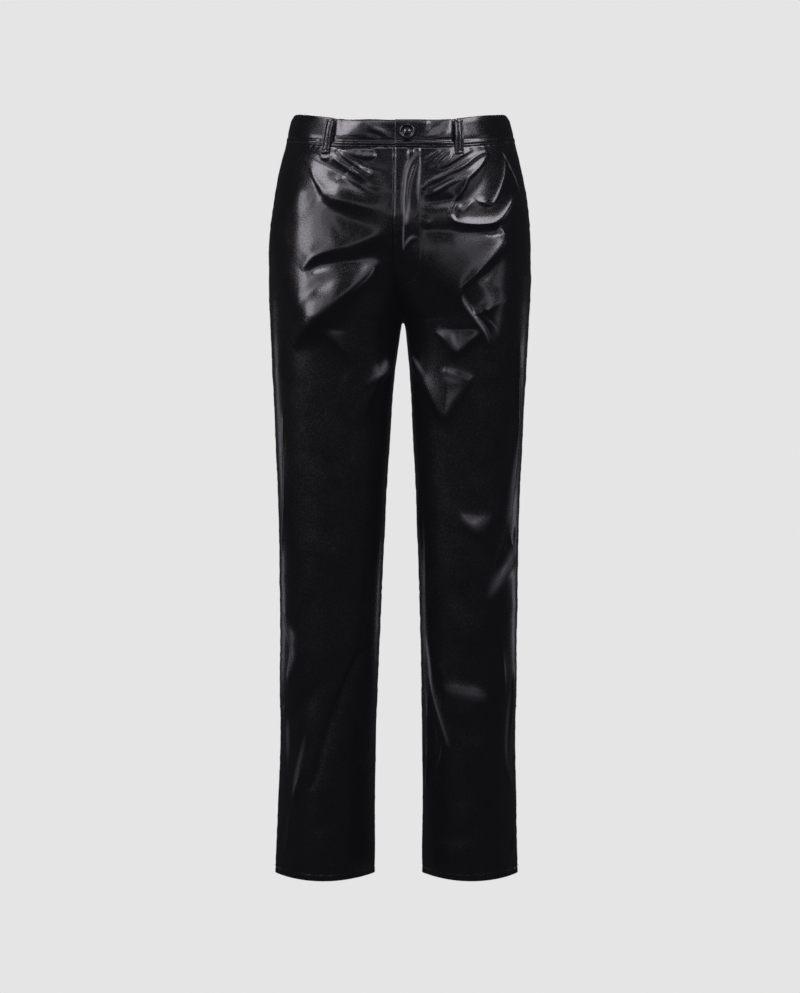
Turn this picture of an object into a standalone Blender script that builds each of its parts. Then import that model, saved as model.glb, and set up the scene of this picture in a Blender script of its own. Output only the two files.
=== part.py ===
"""Faux leather trousers, filled out as worn.

Straight legs, a shaped two-piece waistband with five belt loops, a lapped fly and slant side pockets.
The wearer's front faces -Y and the wearer's left is +X. The origin is the centre of the waist opening,
which is where the wearer holds the garment up.

Every cloth piece is a wall lofted through horizontal sections of the garment. The tables give the
sections, and the functions read them at any height. Lengths are millimetres until a mesh is made,
in metres. A hand is +1 for the wearer's left and -1 for the right; a face is "front" or "back".
"""

import bmesh
import bpy
import numpy as np
from mathutils import Vector

METRE = 1000

# Cloth
WALL = 1.2  # faux leather with its knitted backing
BAND_WALL = 2.0  # the waistband is folded double
LOOP_WALL = 1.6  # a belt loop is folded in three and pressed
SEAM_GAP = 0.3  # clearance left between pieces that are sewn together

# Heights at the side seams and on the centre lines. power says how far round the edge stays near the
# side seam's height.
WAIST_TOP = {"side": 17.2, "front": -2.6, "back": 23, "power": 2.2}
WAIST_SEAM = {"side": -20, "front": -40, "back": -17, "power": 1.6}
CROTCH_Z = -265
HEM_Z = -1022

# The rise: the centre seams run straight down to a bend, then round a quarter ellipse to the crotch.
# Away from the seams the thigh takes up that curve softly.
BEND_Z = {"front": -120, "back": -150}
CROTCH_EASE = 0.8
CROTCH_EASE_DEPTH = 60
FLAT_FRONT = 1.5  # how much squarer the inner quarters are where the two sides are one round body
FLAT_FRONT_POWER = 4
RISE_SAMPLES = 400

# Fly and waistband ends
FLY_BOTTOM_Z = -222
FLY_FADE_Z = -150  # the edge sinks from here down to the fly's bottom
FLY_WIDTH = 34
FLY_LIFT = 0.8  # the folded fly edge stands this far proud
BAND_PROUD = 0.3
BAND_LIFT = 1.2  # the left end of the band rises over the right end
BAND_SINK = 1.3  # and the right end dips under it
BAND_LAP_X = 24  # the right end runs on to here under the left end
BAND_LAP_RAMP = 32  # the stretch over which both ends leave the plain band
BAND_MIDDLE = 20  # how near the centre lines a column of the band lies that is moved clear of them

# Slant pockets
POCKET_TOP_ANGLE = 66  # degrees round from the front crease to the side seam
POCKET_END_Z = -165
POCKET_BOW = 0.55  # below 1, the opening bows towards the side seam

FOLD_FADE = 30  # folds flatten out over this distance from a seam
MITRE_LIMIT = 0.2  # the least share of a wall's thickness that its mitre is worked out from
SHARP_ANGLE = 0.7

# Button
BUTTON_RADIUS = 10.5
BUTTON_HEIGHT = 4.2
BUTTON_SHANK = 0.5  # the thread under it
BUTTON_X = 9.5
BUTTON_Z = -20.5
BUTTON_SPAN = 10  # the height of band that gives the button its tilt
BUTTON_MERGE = 0.01  # closer than this, the turned profile's points on its axis are one

# Belt loops
LOOP_WIDTH = 11.5
LOOP_BELOW_TOP = 3
LOOP_BELOW_SEAM = 12
LOOP_STAND_OFF = 3.2  # room for a belt at the middle of a loop
LOOP_BOW = 0.8  # below 1, a loop leaves the band sooner at its ends
LOOP_BESIDE = 1.0

# Cells of the grids
CELLS_ROUND = 12
CELLS_RISE = 14
CELLS_LEG = 23
FACING_CELLS = 3  # from the side seam to the opening
FACING_ROWS = 8
BAND_CELLS_ROUND = 13
BAND_CELLS_HIGH = 3
BAND_LAP_CELLS = 3
LOOP_CELLS = 8
BUTTON_STEPS = 32
ROW_CROWDING = 1.5  # the rows of the legs lie closer together under the crotch

# Sections from the band down to the hem. left_x and right_x are the side seams, and mid_y is their plane.
# front_y and back_y are the depths of the creases before and behind it, at left_crease_x and
# right_crease_x. corner is the exponent of the outer quarters: 0.5 gives an ellipse, and 1 a parabola,
# which meets the side seam in a corner.
SECTION_COLUMNS = "z left_x right_x front_y back_y mid_y left_crease_x right_crease_x corner"
SECTIONS = [
    (24, 147.0, -145.8, 95, 99, 0, 31.5, -41.7, 0.50),
    (0, 152.4, -151.1, 98, 102, 0, 34.4, -44.5, 0.50),
    (-20, 157.8, -155.8, 100, 105, 0, 37.3, -47.3, 0.50),
    (-60, 167.7, -166.5, 106, 113, 1, 43.4, -53.5, 0.50),
    (-100, 175.0, -173.2, 110, 121, 2, 48.8, -59.0, 0.50),
    (-150, 179.4, -179.6, 112, 127, 3, 57.0, -68.2, 0.50),
    (-200, 180.0, -180.5, 110, 126, 5, 69.7, -78.4, 0.50),
    (-235, 179.4, -180.2, 106, 120, 6, 80.0, -83.6, 0.50),
    (-265, 177.7, -178.9, 101, 112, 6, 87.6, -86.8, 0.50),
    (-300, 175.8, -177.3, 96, 103, 5, 91.8, -89.3, 0.50),
    (-360, 172.0, -174.3, 89, 93, 4, 93.3, -91.6, 0.50),
    (-440, 167.6, -170.4, 81, 84, 2, 93.4, -92.6, 0.52),
    (-540, 163.4, -166.7, 74, 76, 0, 93.5, -93.8, 0.56),
    (-640, 161.6, -165.2, 70, 73, 0, 94.1, -94.7, 0.64),
    (-740, 160.6, -165.4, 69, 73, 1, 94.5, -96.3, 0.74),
    (-820, 159.5, -165.2, 70, 73, 3, 94.7, -98.2, 0.82),
    (-900, 160.0, -167.0, 71, 73, 4, 95.2, -99.8, 0.88),
    (-980, 161.8, -170.9, 72, 72, 4, 96.0, -102.2, 0.92),
    (-1022, 163.2, -172.8, 72, 72, 4, 96.4, -103.1, 0.94),
]
# The centre line, which follows the fly edge in front and the seat seam behind
CENTRE_COLUMNS = "z front back"
CENTRES = [
    (24, -7.0, 0.0),
    (-100, -7.6, 0.3),
    (-160, -8.6, 0.8),
    (-222, -5.0, 2.6),
    (-265, 3.9, 3.9),
]
# The inseams. They part in a narrow arch, so they are read over the root of the depth under the crotch.
INSEAM_COLUMNS = "depth left_x right_x corner"
INSEAMS = [
    (0, 3.9, 3.9, 0.50),
    (10, 7.8, 0.6, 0.50),
    (35, 10.1, -2.4, 0.50),
    (95, 14.6, -9.0, 0.50),
    (175, 19.0, -14.7, 0.52),
    (275, 23.2, -20.5, 0.58),
    (375, 26.2, -24.7, 0.66),
    (475, 28.6, -29.0, 0.76),
    (555, 29.8, -32.3, 0.84),
    (635, 30.4, -33.3, 0.90),
    (715, 30.0, -34.0, 0.94),
    (757, 29.6, -34.0, 0.96),
]
# The largest folds, as soft ridges (height above 0) and troughs. x and z are the middle, angle is the
# fold's direction in degrees anticlockwise from +X as seen from the front, length and width are its
# reach either way from the middle.
FOLDS = {
    "front": [
        # x, z, angle, length, width, height
        (-88, -85, 15, 45, 24, 3.0),
        (-70, -129, -23, 62, 17, -4.0),
        (-86, -202, -33, 52, 18, -3.5),
        (-82, -239, 38, 58, 20, 6.0),
        (90, -89, 56, 48, 16, 3.0),
        (86, -155, 2, 52, 16, -4.0),
        (109, -205, 53, 48, 18, 4.0),
        (98, -262, -59, 44, 17, 3.0),
        (-62, -372, 52, 60, 18, 3.0),
        (84, -330, -48, 62, 18, 3.0),
        (103, -541, -10, 38, 18, 3.0),
        (-87, -807, 70, 100, 20, -3.5),
        (89, -762, -8, 40, 18, 3.0),
        (122, -640, 52, 60, 18, -3.0),
    ],
    "back": [
        (-85, -238, 22, 66, 20, -4.0),
        (88, -244, -20, 66, 20, -4.0),
        (-96, -300, 32, 58, 18, 3.5),
        (99, -306, -34, 58, 18, 3.5),
        (-98, -548, 8, 52, 20, -4.0),
        (94, -532, -6, 52, 20, -4.0),
        (-100, -596, 14, 46, 18, 3.0),
        (98, -584, -12, 46, 18, 3.0),
        (100, -800, -24, 60, 22, -3.0),
        (-105, -830, 20, 60, 22, -3.0),
    ],
}
# Belt loops: where each crosses the band's top edge and where it ends below the seam
LOOPS = [
    # name, face, top_x, foot_x
    ("belt_loop_front_left", "front", 78, 79),
    ("belt_loop_front_right", "front", -93, -99),
    ("belt_loop_back_left", "back", 96, 99),
    ("belt_loop_back_centre", "back", 0, 0),
    ("belt_loop_back_right", "back", -96, -99),
]

BLACK_LEATHER = {"colour": (0.012, 0.012, 0.016, 1), "roughness": 0.3, "metallic": 0}
BLACK_LEATHER_MATT = {"colour": (0.014, 0.014, 0.017, 1), "roughness": 0.45, "metallic": 0}
BLACK_PLASTIC = {"colour": (0.008, 0.008, 0.009, 1), "roughness": 0.12, "metallic": 0}


def smooth_columns(names, rows):
    """Reads each column of a table at any place in its first one, along a curve through the rows."""
    names = names.split()
    values = np.array(sorted(rows), float)
    places = values[:, 0]
    slopes = np.gradient(values, places, axis=0)

    def read(at):
        at = np.clip(at, places[0], places[-1])
        row = np.clip(np.searchsorted(places, at) - 1, 0, len(places) - 2)
        span = (places[row + 1] - places[row])[..., None]
        t = (at[..., None] - places[row][..., None]) / span
        found = (
            (1 + 2 * t) * (1 - t) ** 2 * values[row]
            + t * (1 - t) ** 2 * span * slopes[row]
            + t**2 * (3 - 2 * t) * values[row + 1]
            - t**2 * (1 - t) * span * slopes[row + 1]
        )
        return {name: found[..., i] for i, name in enumerate(names)}

    return read


section_at = smooth_columns(SECTION_COLUMNS, SECTIONS)
centre_at = smooth_columns(CENTRE_COLUMNS, CENTRES)
inseam_at = smooth_columns(INSEAM_COLUMNS, [(depth**0.5, *rest) for depth, *rest in INSEAMS])


def ramp(value, start, end):
    """0 at start, 1 at end, and smooth between them."""
    t = np.clip((value - start) / (end - start), 0, 1)
    return t * t * (3 - 2 * t)


def eased_root(value, ease):
    """The square root of a value, or 0 below 0. ease rounds the corner between them."""
    return np.sqrt((value + np.sqrt(value**2 + ease**2)) / 2)


def rise_share(face, z, ease):
    """The centre seam's depth at z, as a share of the crease's: 1 down to the bend, 0 at the crotch."""
    bend = BEND_Z[face]
    fall = np.maximum((bend - z) / (bend - CROTCH_Z), 0)
    return eased_root(1 - fall**2, ease) / eased_root(1, ease)


def outline(hand, face, z, ease=0.0):
    """What a quarter of the section needs: its side seam, its crease and its inner end. ease carries the
    crotch's curve smoothly from the rise into the leg."""
    section = section_at(z)
    inseam = inseam_at(eased_root(CROTCH_Z - z, ease * CROTCH_EASE_DEPTH))
    side = "left" if hand > 0 else "right"
    share = rise_share(face, z, ease)
    depth = section[face + "_y"]
    return {
        "side_x": section[side + "_x"],
        "crease_x": section[side + "_crease_x"],
        "end_x": centre_at(z)[face] + inseam[side + "_x"] - INSEAMS[0][1],
        "depth": depth,
        "end_y": depth * share,
        "mid_y": section["mid_y"],
        "corner": section["corner"],
        "inner_corner": inseam["corner"] + FLAT_FRONT * share**FLAT_FRONT_POWER,
    }


def outer_share(line):
    """The outer quarter's share of the way round, from its rough length against the inner quarter's."""
    outer = np.hypot(line["side_x"] - line["crease_x"], line["depth"])
    inner = np.hypot(line["crease_x"] - line["end_x"], line["depth"] - line["end_y"])
    return outer / (outer + inner)


def cloth_point(hand, face, z, u):
    """A point of the garment's outer face. u runs from 0 at the side seam to 1 at the centre or inseam."""
    line = outline(hand, face, z)
    split = outer_share(line)
    outer = u < split
    turn = np.where(outer, 1 - u / split, (u - split) / (1 - split))
    reach = np.sin(turn * np.pi / 2)
    line = outline(hand, face, z, CROTCH_EASE * np.where(outer, 0, 1 - reach))
    far_x = np.where(outer, line["side_x"], line["end_x"])
    far_y = np.where(outer, 0, line["end_y"])
    power = np.where(outer, line["corner"], line["inner_corner"])
    x = line["crease_x"] + (far_x - line["crease_x"]) * reach
    y = far_y + (line["depth"] - far_y) * np.maximum(1 - reach**2, 0) ** power
    return np.stack([x, line["mid_y"] + (y if face == "back" else -y), z], axis=-1)


def dip_share(hand, face, u, edge):
    """How far round from the side seam towards the centre line u is, as the waist edges count it."""
    split = outer_share(outline(hand, face, edge["side"] + 0 * u))
    return np.cos(np.clip(1 - u / split, 0, 1) * np.pi / 2) ** edge["power"]


def fold_height(face, points):
    """The height of the folds over the plain form, from where a point lies as seen from the front."""
    total = 0
    for x, z, angle, length, width, height in FOLDS[face]:
        along = np.array([np.cos(np.radians(angle)), np.sin(np.radians(angle))])
        from_middle = points[..., [0, 2]] - (x, z)
        on = from_middle @ along
        off = from_middle @ np.array([-along[1], along[0]])
        total = total + height * np.exp(-((on / length) ** 4) - (off / width) ** 2)
    return total


def outward_normals(points, hand, face):
    """Unit normals of a grid whose rows run down the garment and whose columns run in from the side."""
    down = np.gradient(points, axis=0)
    inward = np.gradient(points, axis=1)
    normals = np.cross(inward, down)
    normals /= np.linalg.norm(normals, axis=-1, keepdims=True)
    return normals * hand * (1 if face == "front" else -1)


def fly_lift(hand, points):
    """The wearer's left front rises to its folded edge."""
    if hand < 0:
        return 0
    across = 1 - ramp(points[..., 0], CENTRES[0][1], FLY_WIDTH)
    return FLY_LIFT * across * ramp(points[..., 2], FLY_BOTTOM_Z, FLY_FADE_Z)


def rise_heights(hand, face, cells):
    """Heights down the centre seam at even steps along its curve, from the waist seam to the crotch."""
    fine = np.linspace(0, 1, RISE_SAMPLES)
    z = CROTCH_Z + (WAIST_SEAM[face] - CROTCH_Z) * (1 - fine) ** 2
    line = outline(hand, face, z)
    step = np.hypot(np.diff(z), np.diff(line["end_y"]))
    along = np.concatenate([[0], np.cumsum(step)])
    return np.interp(np.linspace(0, along[-1], cells + 1), along, z)


def panel_heights(hand, face):
    """Heights of a panel's rows at its side seam and at its inner edge."""
    side = np.linspace(WAIST_SEAM["side"], CROTCH_Z, CELLS_RISE + 1)
    down_leg = np.arange(1, CELLS_LEG + 1) / CELLS_LEG
    leg = HEM_Z - CROTCH_Z
    side = np.concatenate([side, CROTCH_Z + leg * down_leg])
    inner = np.concatenate([rise_heights(hand, face, CELLS_RISE), CROTCH_Z + leg * down_leg**ROW_CROWDING])
    return side, inner


def pocket_start(hand, z):
    """u of the slant pocket's opening, or of the side seam below it."""
    fall = np.clip((WAIST_SEAM["side"] - z) / (WAIST_SEAM["side"] - POCKET_END_Z), 0, 1)
    angle = POCKET_TOP_ANGLE + (90 - POCKET_TOP_ANGLE) * fall**POCKET_BOW
    return outer_share(outline(hand, "front", z)) * (1 - angle / 90)


def mitred(offsets, normals, plane_axis, keep_sign):
    """Wall offsets at a seam, turned into the seam's plane where they would cross it."""
    crossing = np.sign(offsets[..., plane_axis]) == keep_sign
    flat = offsets.copy()
    flat[..., plane_axis] = 0
    length = np.sum(flat * -normals, axis=-1, keepdims=True)
    wanted = np.sum(offsets * -normals, axis=-1, keepdims=True)
    mitre = flat * wanted / np.maximum(length, MITRE_LIMIT * wanted)
    return np.where(crossing[..., None], mitre, offsets)


def panel_grid(hand, face):
    """u and the height of each point of a leg panel, in rows from the waist seam to the hem."""
    side_z, inner_z = panel_heights(hand, face)
    start = pocket_start(hand, side_z) if face == "front" else 0 * side_z
    u = start[:, None] + (1 - start[:, None]) * np.linspace(0, 1, CELLS_ROUND + 1)
    return u, row_heights(hand, face, u, side_z, inner_z)


def row_heights(hand, face, u, side_z, inner_z):
    dip = dip_share(hand, face, u, WAIST_SEAM)
    return side_z[:, None] + (inner_z - side_z)[:, None] * dip


def outer_skin(hand, face, u, z):
    """The panel's face, with its folds, and the clearance to the panels beside it."""
    plain = cloth_point(hand, face, z, u)
    lift = fold_height(face, plain) * seam_fade(face, plain)
    if face == "front":
        lift = lift + fly_lift(hand, plain)
    skin = plain + outward_normals(plain, hand, face) * lift[..., None]
    return skin + np.array([hand, 1 if face == "back" else -1, 0]) * SEAM_GAP / 2


def panel_skins(hand, face):
    u, z = panel_grid(hand, face)
    outer = outer_skin(hand, face, u, z)
    normals = outward_normals(outer, hand, face)
    offsets = -WALL * normals
    seam_side = 1 if face == "front" else -1
    rise = slice(0, CELLS_RISE + 1)
    leg = slice(CELLS_RISE, None)
    offsets[:, 0] = mitred(offsets[:, 0], normals[:, 0], 1, seam_side)
    offsets[leg, -1] = mitred(offsets[leg, -1], normals[leg, -1], 1, seam_side)
    offsets[rise, -1] = mitred(offsets[rise, -1], normals[rise, -1], 0, -hand)
    return outer, outer + offsets


def seam_fade(face, points):
    """Folds die away at the waist seam, the hem and the other seams, so that the pieces meet there."""
    x, y, z = (points[..., i] for i in range(3))
    from_centre = np.where(z > CROTCH_Z, np.abs(x - centre_at(z)[face]), FOLD_FADE)
    at_waist = ramp(z, WAIST_SEAM["front"], WAIST_SEAM["front"] - FOLD_FADE)
    at_hem = ramp(z, HEM_Z, HEM_Z + 2 * FOLD_FADE)
    return at_waist * at_hem * ramp(np.abs(y), 0, FOLD_FADE) * ramp(from_centre, 0, FOLD_FADE)


def wall_mesh(name, outer, inner):
    """A closed wall between two grids of points. Its faces point out when the rows run down and the
    columns run to the right, as seen from outside."""
    rows, columns = outer.shape[:2]
    mesh = bmesh.new()
    skins = [
        [[mesh.verts.new(Vector(point) / METRE) for point in row] for row in skin]
        for skin in (outer, inner)
    ]
    over, under = skins
    for i in range(rows - 1):
        for j in range(columns - 1):
            mesh.faces.new((over[i][j], over[i + 1][j], over[i + 1][j + 1], over[i][j + 1]))
            mesh.faces.new((under[i][j], under[i][j + 1], under[i + 1][j + 1], under[i + 1][j]))
    rim = [(0, j) for j in range(columns)]
    rim += [(i, columns - 1) for i in range(1, rows)]
    rim += [(rows - 1, j) for j in range(columns - 2, -1, -1)]
    rim += [(i, 0) for i in range(rows - 2, 0, -1)]
    for (i, j), (k, m) in zip(rim, rim[1:] + rim[:1]):
        mesh.faces.new((over[i][j], over[k][m], under[k][m], under[i][j]))
    bmesh.ops.triangulate(mesh, faces=mesh.faces)
    data = bpy.data.meshes.new(name)
    mesh.to_mesh(data)
    mesh.free()
    data.shade_smooth()
    data.set_sharp_from_angle(angle=SHARP_ANGLE)
    return data


def material(name, look):
    made = bpy.data.materials.new(name)
    made.use_nodes = True
    shader = made.node_tree.nodes["Principled BSDF"]
    shader.inputs["Base Color"].default_value = look["colour"]
    shader.inputs["Roughness"].default_value = look["roughness"]
    shader.inputs["Metallic"].default_value = look["metallic"]
    return made


def add_piece(name, data, look, collection, parent):
    piece = bpy.data.objects.new(name, data)
    piece.data.materials.append(material(name, look))
    collection.objects.link(piece)
    piece.parent = parent
    return piece


def add_wall(name, outer, inner, flip, look, collection, parent):
    """flip turns the columns round where they run to the left, as seen from outside."""
    if flip:
        outer, inner = outer[:, ::-1], inner[:, ::-1]
    return add_piece(name, wall_mesh(name, outer, inner), look, collection, parent)


def add_panel(name, hand, face, collection, parent):
    outer, inner = panel_skins(hand, face)
    runs_left = (hand > 0) == (face == "front")
    add_wall(name, outer, inner, runs_left, BLACK_LEATHER, collection, parent)


def add_facing(name, hand, collection, parent):
    """The pocket's facing. It lies under the front's first column and comes up flush at the side seam."""
    panel_u = panel_grid(hand, "front")[0][:FACING_ROWS]
    start = panel_u[:, :1]
    u = np.concatenate([start * np.linspace(0, 1, FACING_CELLS + 1), panel_u[:, 1:2]], axis=1)
    side_z, inner_z = (heights[:FACING_ROWS] for heights in panel_heights(hand, "front"))
    skin = outer_skin(hand, "front", u, row_heights(hand, "front", u, side_z, inner_z))
    normals = outward_normals(skin, hand, "front")
    depth = (WALL + 2 * SEAM_GAP) * np.clip(u / start, 0, 1)
    outer = skin - normals * depth[..., None]
    offsets = -WALL * normals
    offsets[:, 0] = mitred(offsets[:, 0], normals[:, 0], 1, 1)
    add_wall(name, outer, outer + offsets, hand > 0, BLACK_LEATHER_MATT, collection, parent)


def band_point(hand, face, share, u):
    """A point of the band's plain face; share runs from 0 at its seam to 1 at its top edge."""
    low, high = (
        edge["side"] + (edge[face] - edge["side"]) * dip_share(hand, face, u, edge)
        for edge in (WAIST_SEAM, WAIST_TOP)
    )
    low = low + SEAM_GAP
    return cloth_point(hand, face, low + (high - low) * share, u)


def add_band(name, hand, collection, parent):
    """Half the waistband, from the centre back round the side to its end in front."""
    share = np.linspace(1, 0, BAND_CELLS_HIGH + 1)[:, None]
    u = np.linspace(0, 1, BAND_CELLS_ROUND + 1)[None, :]
    back = band_point(hand, "back", share, u)[:, ::-1]
    front = band_point(hand, "front", share, u)
    plain = np.concatenate([back, front[:, 1:]], axis=1)
    plain[..., 0] += np.where(np.abs(plain[..., 0]) < BAND_MIDDLE, hand * SEAM_GAP / 2, 0)
    if hand < 0:
        plain = np.concatenate([plain, underlap(plain[:, -1])], axis=1)
    normals = outward_normals(plain, hand, "front")
    in_front = plain[..., 1] < 0
    if hand > 0:
        near = 1 - ramp(plain[..., 0], BAND_LAP_X, BAND_LAP_X + BAND_LAP_RAMP)
        lift = BAND_LIFT * near * in_front
    else:
        end = CENTRES[0][1]
        lift = -BAND_SINK * ramp(plain[..., 0], end - BAND_LAP_RAMP, end - 1) * in_front
    outer = plain + normals * (lift + BAND_PROUD)[..., None]
    inner = outer - normals * BAND_WALL
    add_wall(name, outer, inner, hand > 0, BLACK_LEATHER, collection, parent)


def underlap(last):
    """Columns that carry the band's right end straight on under the left end."""
    columns = np.linspace(0, 1, BAND_LAP_CELLS + 1)[1:]
    run = (BAND_LAP_X - last[:, None, 0]) * columns
    carried = np.repeat(last[:, None, :], len(columns), axis=1)
    carried[..., 0] += run
    return carried


def surface_at_x(face, x, z):
    """A point of the plain form at an x in the section's outer quarter or on its flat front."""
    hand = 1 if x > 0 else -1
    line = outline(hand, face, z)
    reach = np.clip((x - line["crease_x"]) / (line["side_x"] - line["crease_x"]), 0, 1)
    y = line["depth"] * (1 - reach**2) ** line["corner"]
    return np.stack([x + 0 * z, line["mid_y"] + (y if face == "back" else -y), z], axis=-1)


def surfaces_at_x(face, x, z):
    return np.array([surface_at_x(face, float(a), np.array(float(b))) for a, b in zip(x, z)])


def edge_height(edge, face, x):
    """The height of a waist edge at an x."""
    hand = 1 if x > 0 else -1
    line = outline(hand, face, np.array(float(edge["side"])))
    reach = np.clip((x - line["crease_x"]) / (line["side_x"] - line["crease_x"]), 0, 1)
    return edge["side"] + (edge[face] - edge["side"]) * np.sqrt(1 - reach**2) ** edge["power"]


def add_loop(name, face, top_x, foot_x, collection, parent):
    """A strip down over the band, which stands off it between its two sewn ends."""
    t = np.linspace(0, 1, LOOP_CELLS + 1)
    top = edge_height(WAIST_TOP, face, top_x) - LOOP_BELOW_TOP
    foot = edge_height(WAIST_SEAM, face, foot_x) - LOOP_BELOW_SEAM
    z = top + (foot - top) * t
    middle_x = top_x + (foot_x - top_x) * t
    near = surfaces_at_x(face, middle_x, z)
    beside = surfaces_at_x(face, middle_x + LOOP_BESIDE, z)
    tangent = (beside - near) / np.linalg.norm(beside - near, axis=-1, keepdims=True)
    across = np.linspace(-LOOP_WIDTH / 2, LOOP_WIDTH / 2, 3)
    plain = np.stack([surfaces_at_x(face, middle_x + tangent[:, 0] * offset, z) for offset in across], axis=1)
    if face == "back":
        plain = plain[:, ::-1]
    normals = outward_normals(plain, -1, "front")
    stand_off = BAND_PROUD + SEAM_GAP + LOOP_STAND_OFF * np.sin(np.pi * t) ** LOOP_BOW
    inner = plain + normals * stand_off[:, None, None]
    outer = inner + normals * LOOP_WALL
    add_wall(name, outer, inner, False, BLACK_LEATHER, collection, parent)


def add_button(collection, parent):
    """A domed button with a raised rim, turned about its own axis."""
    profile = [
        (0, 2.9), (2.4, 2.7), (4.6, 2.1), (6.0, 1.7), (6.8, 2.0), (7.8, 3.6), (8.8, BUTTON_HEIGHT),
        (9.8, 3.9), (BUTTON_RADIUS, 2.6), (BUTTON_RADIUS, 1.4), (9.4, 0.3), (8.4, 0), (0, 0),
    ]
    mesh = bmesh.new()
    verts = [mesh.verts.new(Vector((radius, 0, height)) / METRE) for radius, height in profile]
    for first, second in zip(verts, verts[1:]):
        mesh.edges.new((first, second))
    data = bpy.data.meshes.new("button")
    mesh.to_mesh(data)
    mesh.free()
    button = add_piece("button", data, BLACK_PLASTIC, collection, parent)
    turn = button.modifiers.new("turn", "SCREW")
    turn.axis = "Z"
    turn.steps = turn.render_steps = BUTTON_STEPS
    turn.use_merge_vertices = True
    turn.merge_threshold = BUTTON_MERGE / METRE
    height = np.array(float(BUTTON_Z))
    seat = surface_at_x("front", BUTTON_X, height)
    above = surface_at_x("front", BUTTON_X, height + BUTTON_SPAN)
    slope = Vector(above - seat).normalized()
    normal = Vector((1, 0, 0)).cross(slope)
    place = Vector(seat) + normal * (BAND_PROUD + BAND_LIFT + BUTTON_SHANK)
    button.location = place / METRE
    button.rotation_euler = normal.to_track_quat("Z", "Y").to_euler()


def main():
    for old in list(bpy.data.objects):
        bpy.data.objects.remove(old, do_unlink=True)
    collection = bpy.data.collections.new("faux_leather_trousers")
    bpy.context.scene.collection.children.link(collection)
    waist = bpy.data.objects.new("waist_centre", None)
    collection.objects.link(waist)
    for hand_name, hand in (("left", 1), ("right", -1)):
        for face in ("front", "back"):
            add_panel(f"{face}_{hand_name}", hand, face, collection, waist)
        add_facing(f"pocket_facing_{hand_name}", hand, collection, waist)
        add_band(f"waistband_{hand_name}", hand, collection, waist)
    for name, face, top_x, foot_x in LOOPS:
        add_loop(name, face, top_x, foot_x, collection, waist)
    add_button(collection, waist)


main()
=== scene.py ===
"""The looks of a pair of black faux leather trousers, filled out as worn.

Every cloth piece is a thin wall lofted through the same sections as the trousers' solids, with its folds,
seams and puckers raised or sunk from that form. Lengths are millimetres until a mesh is made, in metres.
The wearer's front faces -Y and the wearer's left is +X. A hand is +1 for the wearer's left and -1 for the
right; a face is "front" or "back".
"""

import bpy
import numpy as np
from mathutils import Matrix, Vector


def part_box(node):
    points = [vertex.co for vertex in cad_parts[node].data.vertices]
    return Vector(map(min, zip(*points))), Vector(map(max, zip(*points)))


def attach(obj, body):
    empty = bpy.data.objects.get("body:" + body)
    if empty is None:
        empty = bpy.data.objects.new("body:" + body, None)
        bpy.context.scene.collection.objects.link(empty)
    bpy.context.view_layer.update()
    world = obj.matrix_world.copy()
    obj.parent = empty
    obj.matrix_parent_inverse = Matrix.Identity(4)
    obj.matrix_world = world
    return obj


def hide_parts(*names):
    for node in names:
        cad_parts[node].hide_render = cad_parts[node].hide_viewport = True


METRE = 1000
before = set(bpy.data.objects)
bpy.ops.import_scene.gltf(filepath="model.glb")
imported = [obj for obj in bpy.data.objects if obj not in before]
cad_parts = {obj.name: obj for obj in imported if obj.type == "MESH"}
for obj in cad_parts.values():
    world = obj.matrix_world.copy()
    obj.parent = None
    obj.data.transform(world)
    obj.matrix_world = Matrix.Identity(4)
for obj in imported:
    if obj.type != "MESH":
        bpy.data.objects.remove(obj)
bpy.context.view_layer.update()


def node_box(name):
    """A node's lowest and highest corners, in millimetres."""
    return [np.array(corner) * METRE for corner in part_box(name)]


# Cloth
WALL = 1.2
BAND_WALL = 2.0
LOOP_WALL = 1.6
SEAM_GAP = 0.04  # the pieces all but touch where they are sewn together
CENTRE_LAP = 0.02  # at the centre seams they reach past each other by this, so no light comes through
CENTRE_HELD = 0.04  # the share of a panel next to the centre seam that folds don't move sideways
CENTRE_HELD_FADE = 6  # how far below the crotch that ends

# Heights at the side seams and on the centre lines
WAIST_TOP = {"side": 17.2, "front": -2.6, "back": 23, "power": 2.2}
WAIST_SEAM = {"side": -20, "front": -40, "back": -17, "power": 1.6}
CROTCH_Z = -265
HEM_Z = float(node_box("front_left")[0][2])
BEND_Z = {"front": -120, "back": -150}
CROTCH_EASE = 0.8  # how softly the thigh takes up the crotch's curve, away from the seams
CROTCH_EASE_DEPTH = 60

# Fly and waistband ends
FLY_BOTTOM_Z = -222
FLY_WIDTH = 34
BAND_PROUD = 0.3
BAND_LIFT = 1.2  # of the left end over the right one
BAND_SINK = 1.3  # of the right end under it
BAND_LAP_X = 24
BAND_LAP_RAMP = 32  # the width over which each end leaves the plain form

# Stitching: how far each row is from its edge, and the thread's own sizes
HEM_STITCH = 9
POCKET_STITCH = 6
BAND_STITCH = 1.8
LOOP_STITCH = 1.6
STITCH_PITCH = 3.4
STITCH_SHARE = 0.74
THREAD = 0.28  # its radius

# Slant pockets
POCKET_TOP_ANGLE = 66  # degrees round the front of the opening's top, where the side seam is at 90
POCKET_END_Z = -165
POCKET_BOW = 0.55

# Grids. The inner skins have half as many cells each way as the outer ones.
PANEL_COLUMNS = {"front": 194, "back": 152}
BAND_COLUMNS = 180
BAND_ROWS = 44
LAP_COLUMNS = 14
FACING_COLUMNS = 24
FACING_SHARE = 0.5  # of the rows of the rise
FACING_UNDER = 16  # how far a facing runs on under the pocket's edge
LOOP_ROWS = 72
LOOP_COLUMNS = 22
BUTTON_STEPS = 96
RISE_ROWS = 224
LEG_ROWS = 156
HEM_ROWS = 24
HEM_BAND = 22  # the last stretch of the leg, with closer rows for the hem's stitching
ROW_CROWDING = 1.5
FRONT_CROWDING = 0.3

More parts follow.
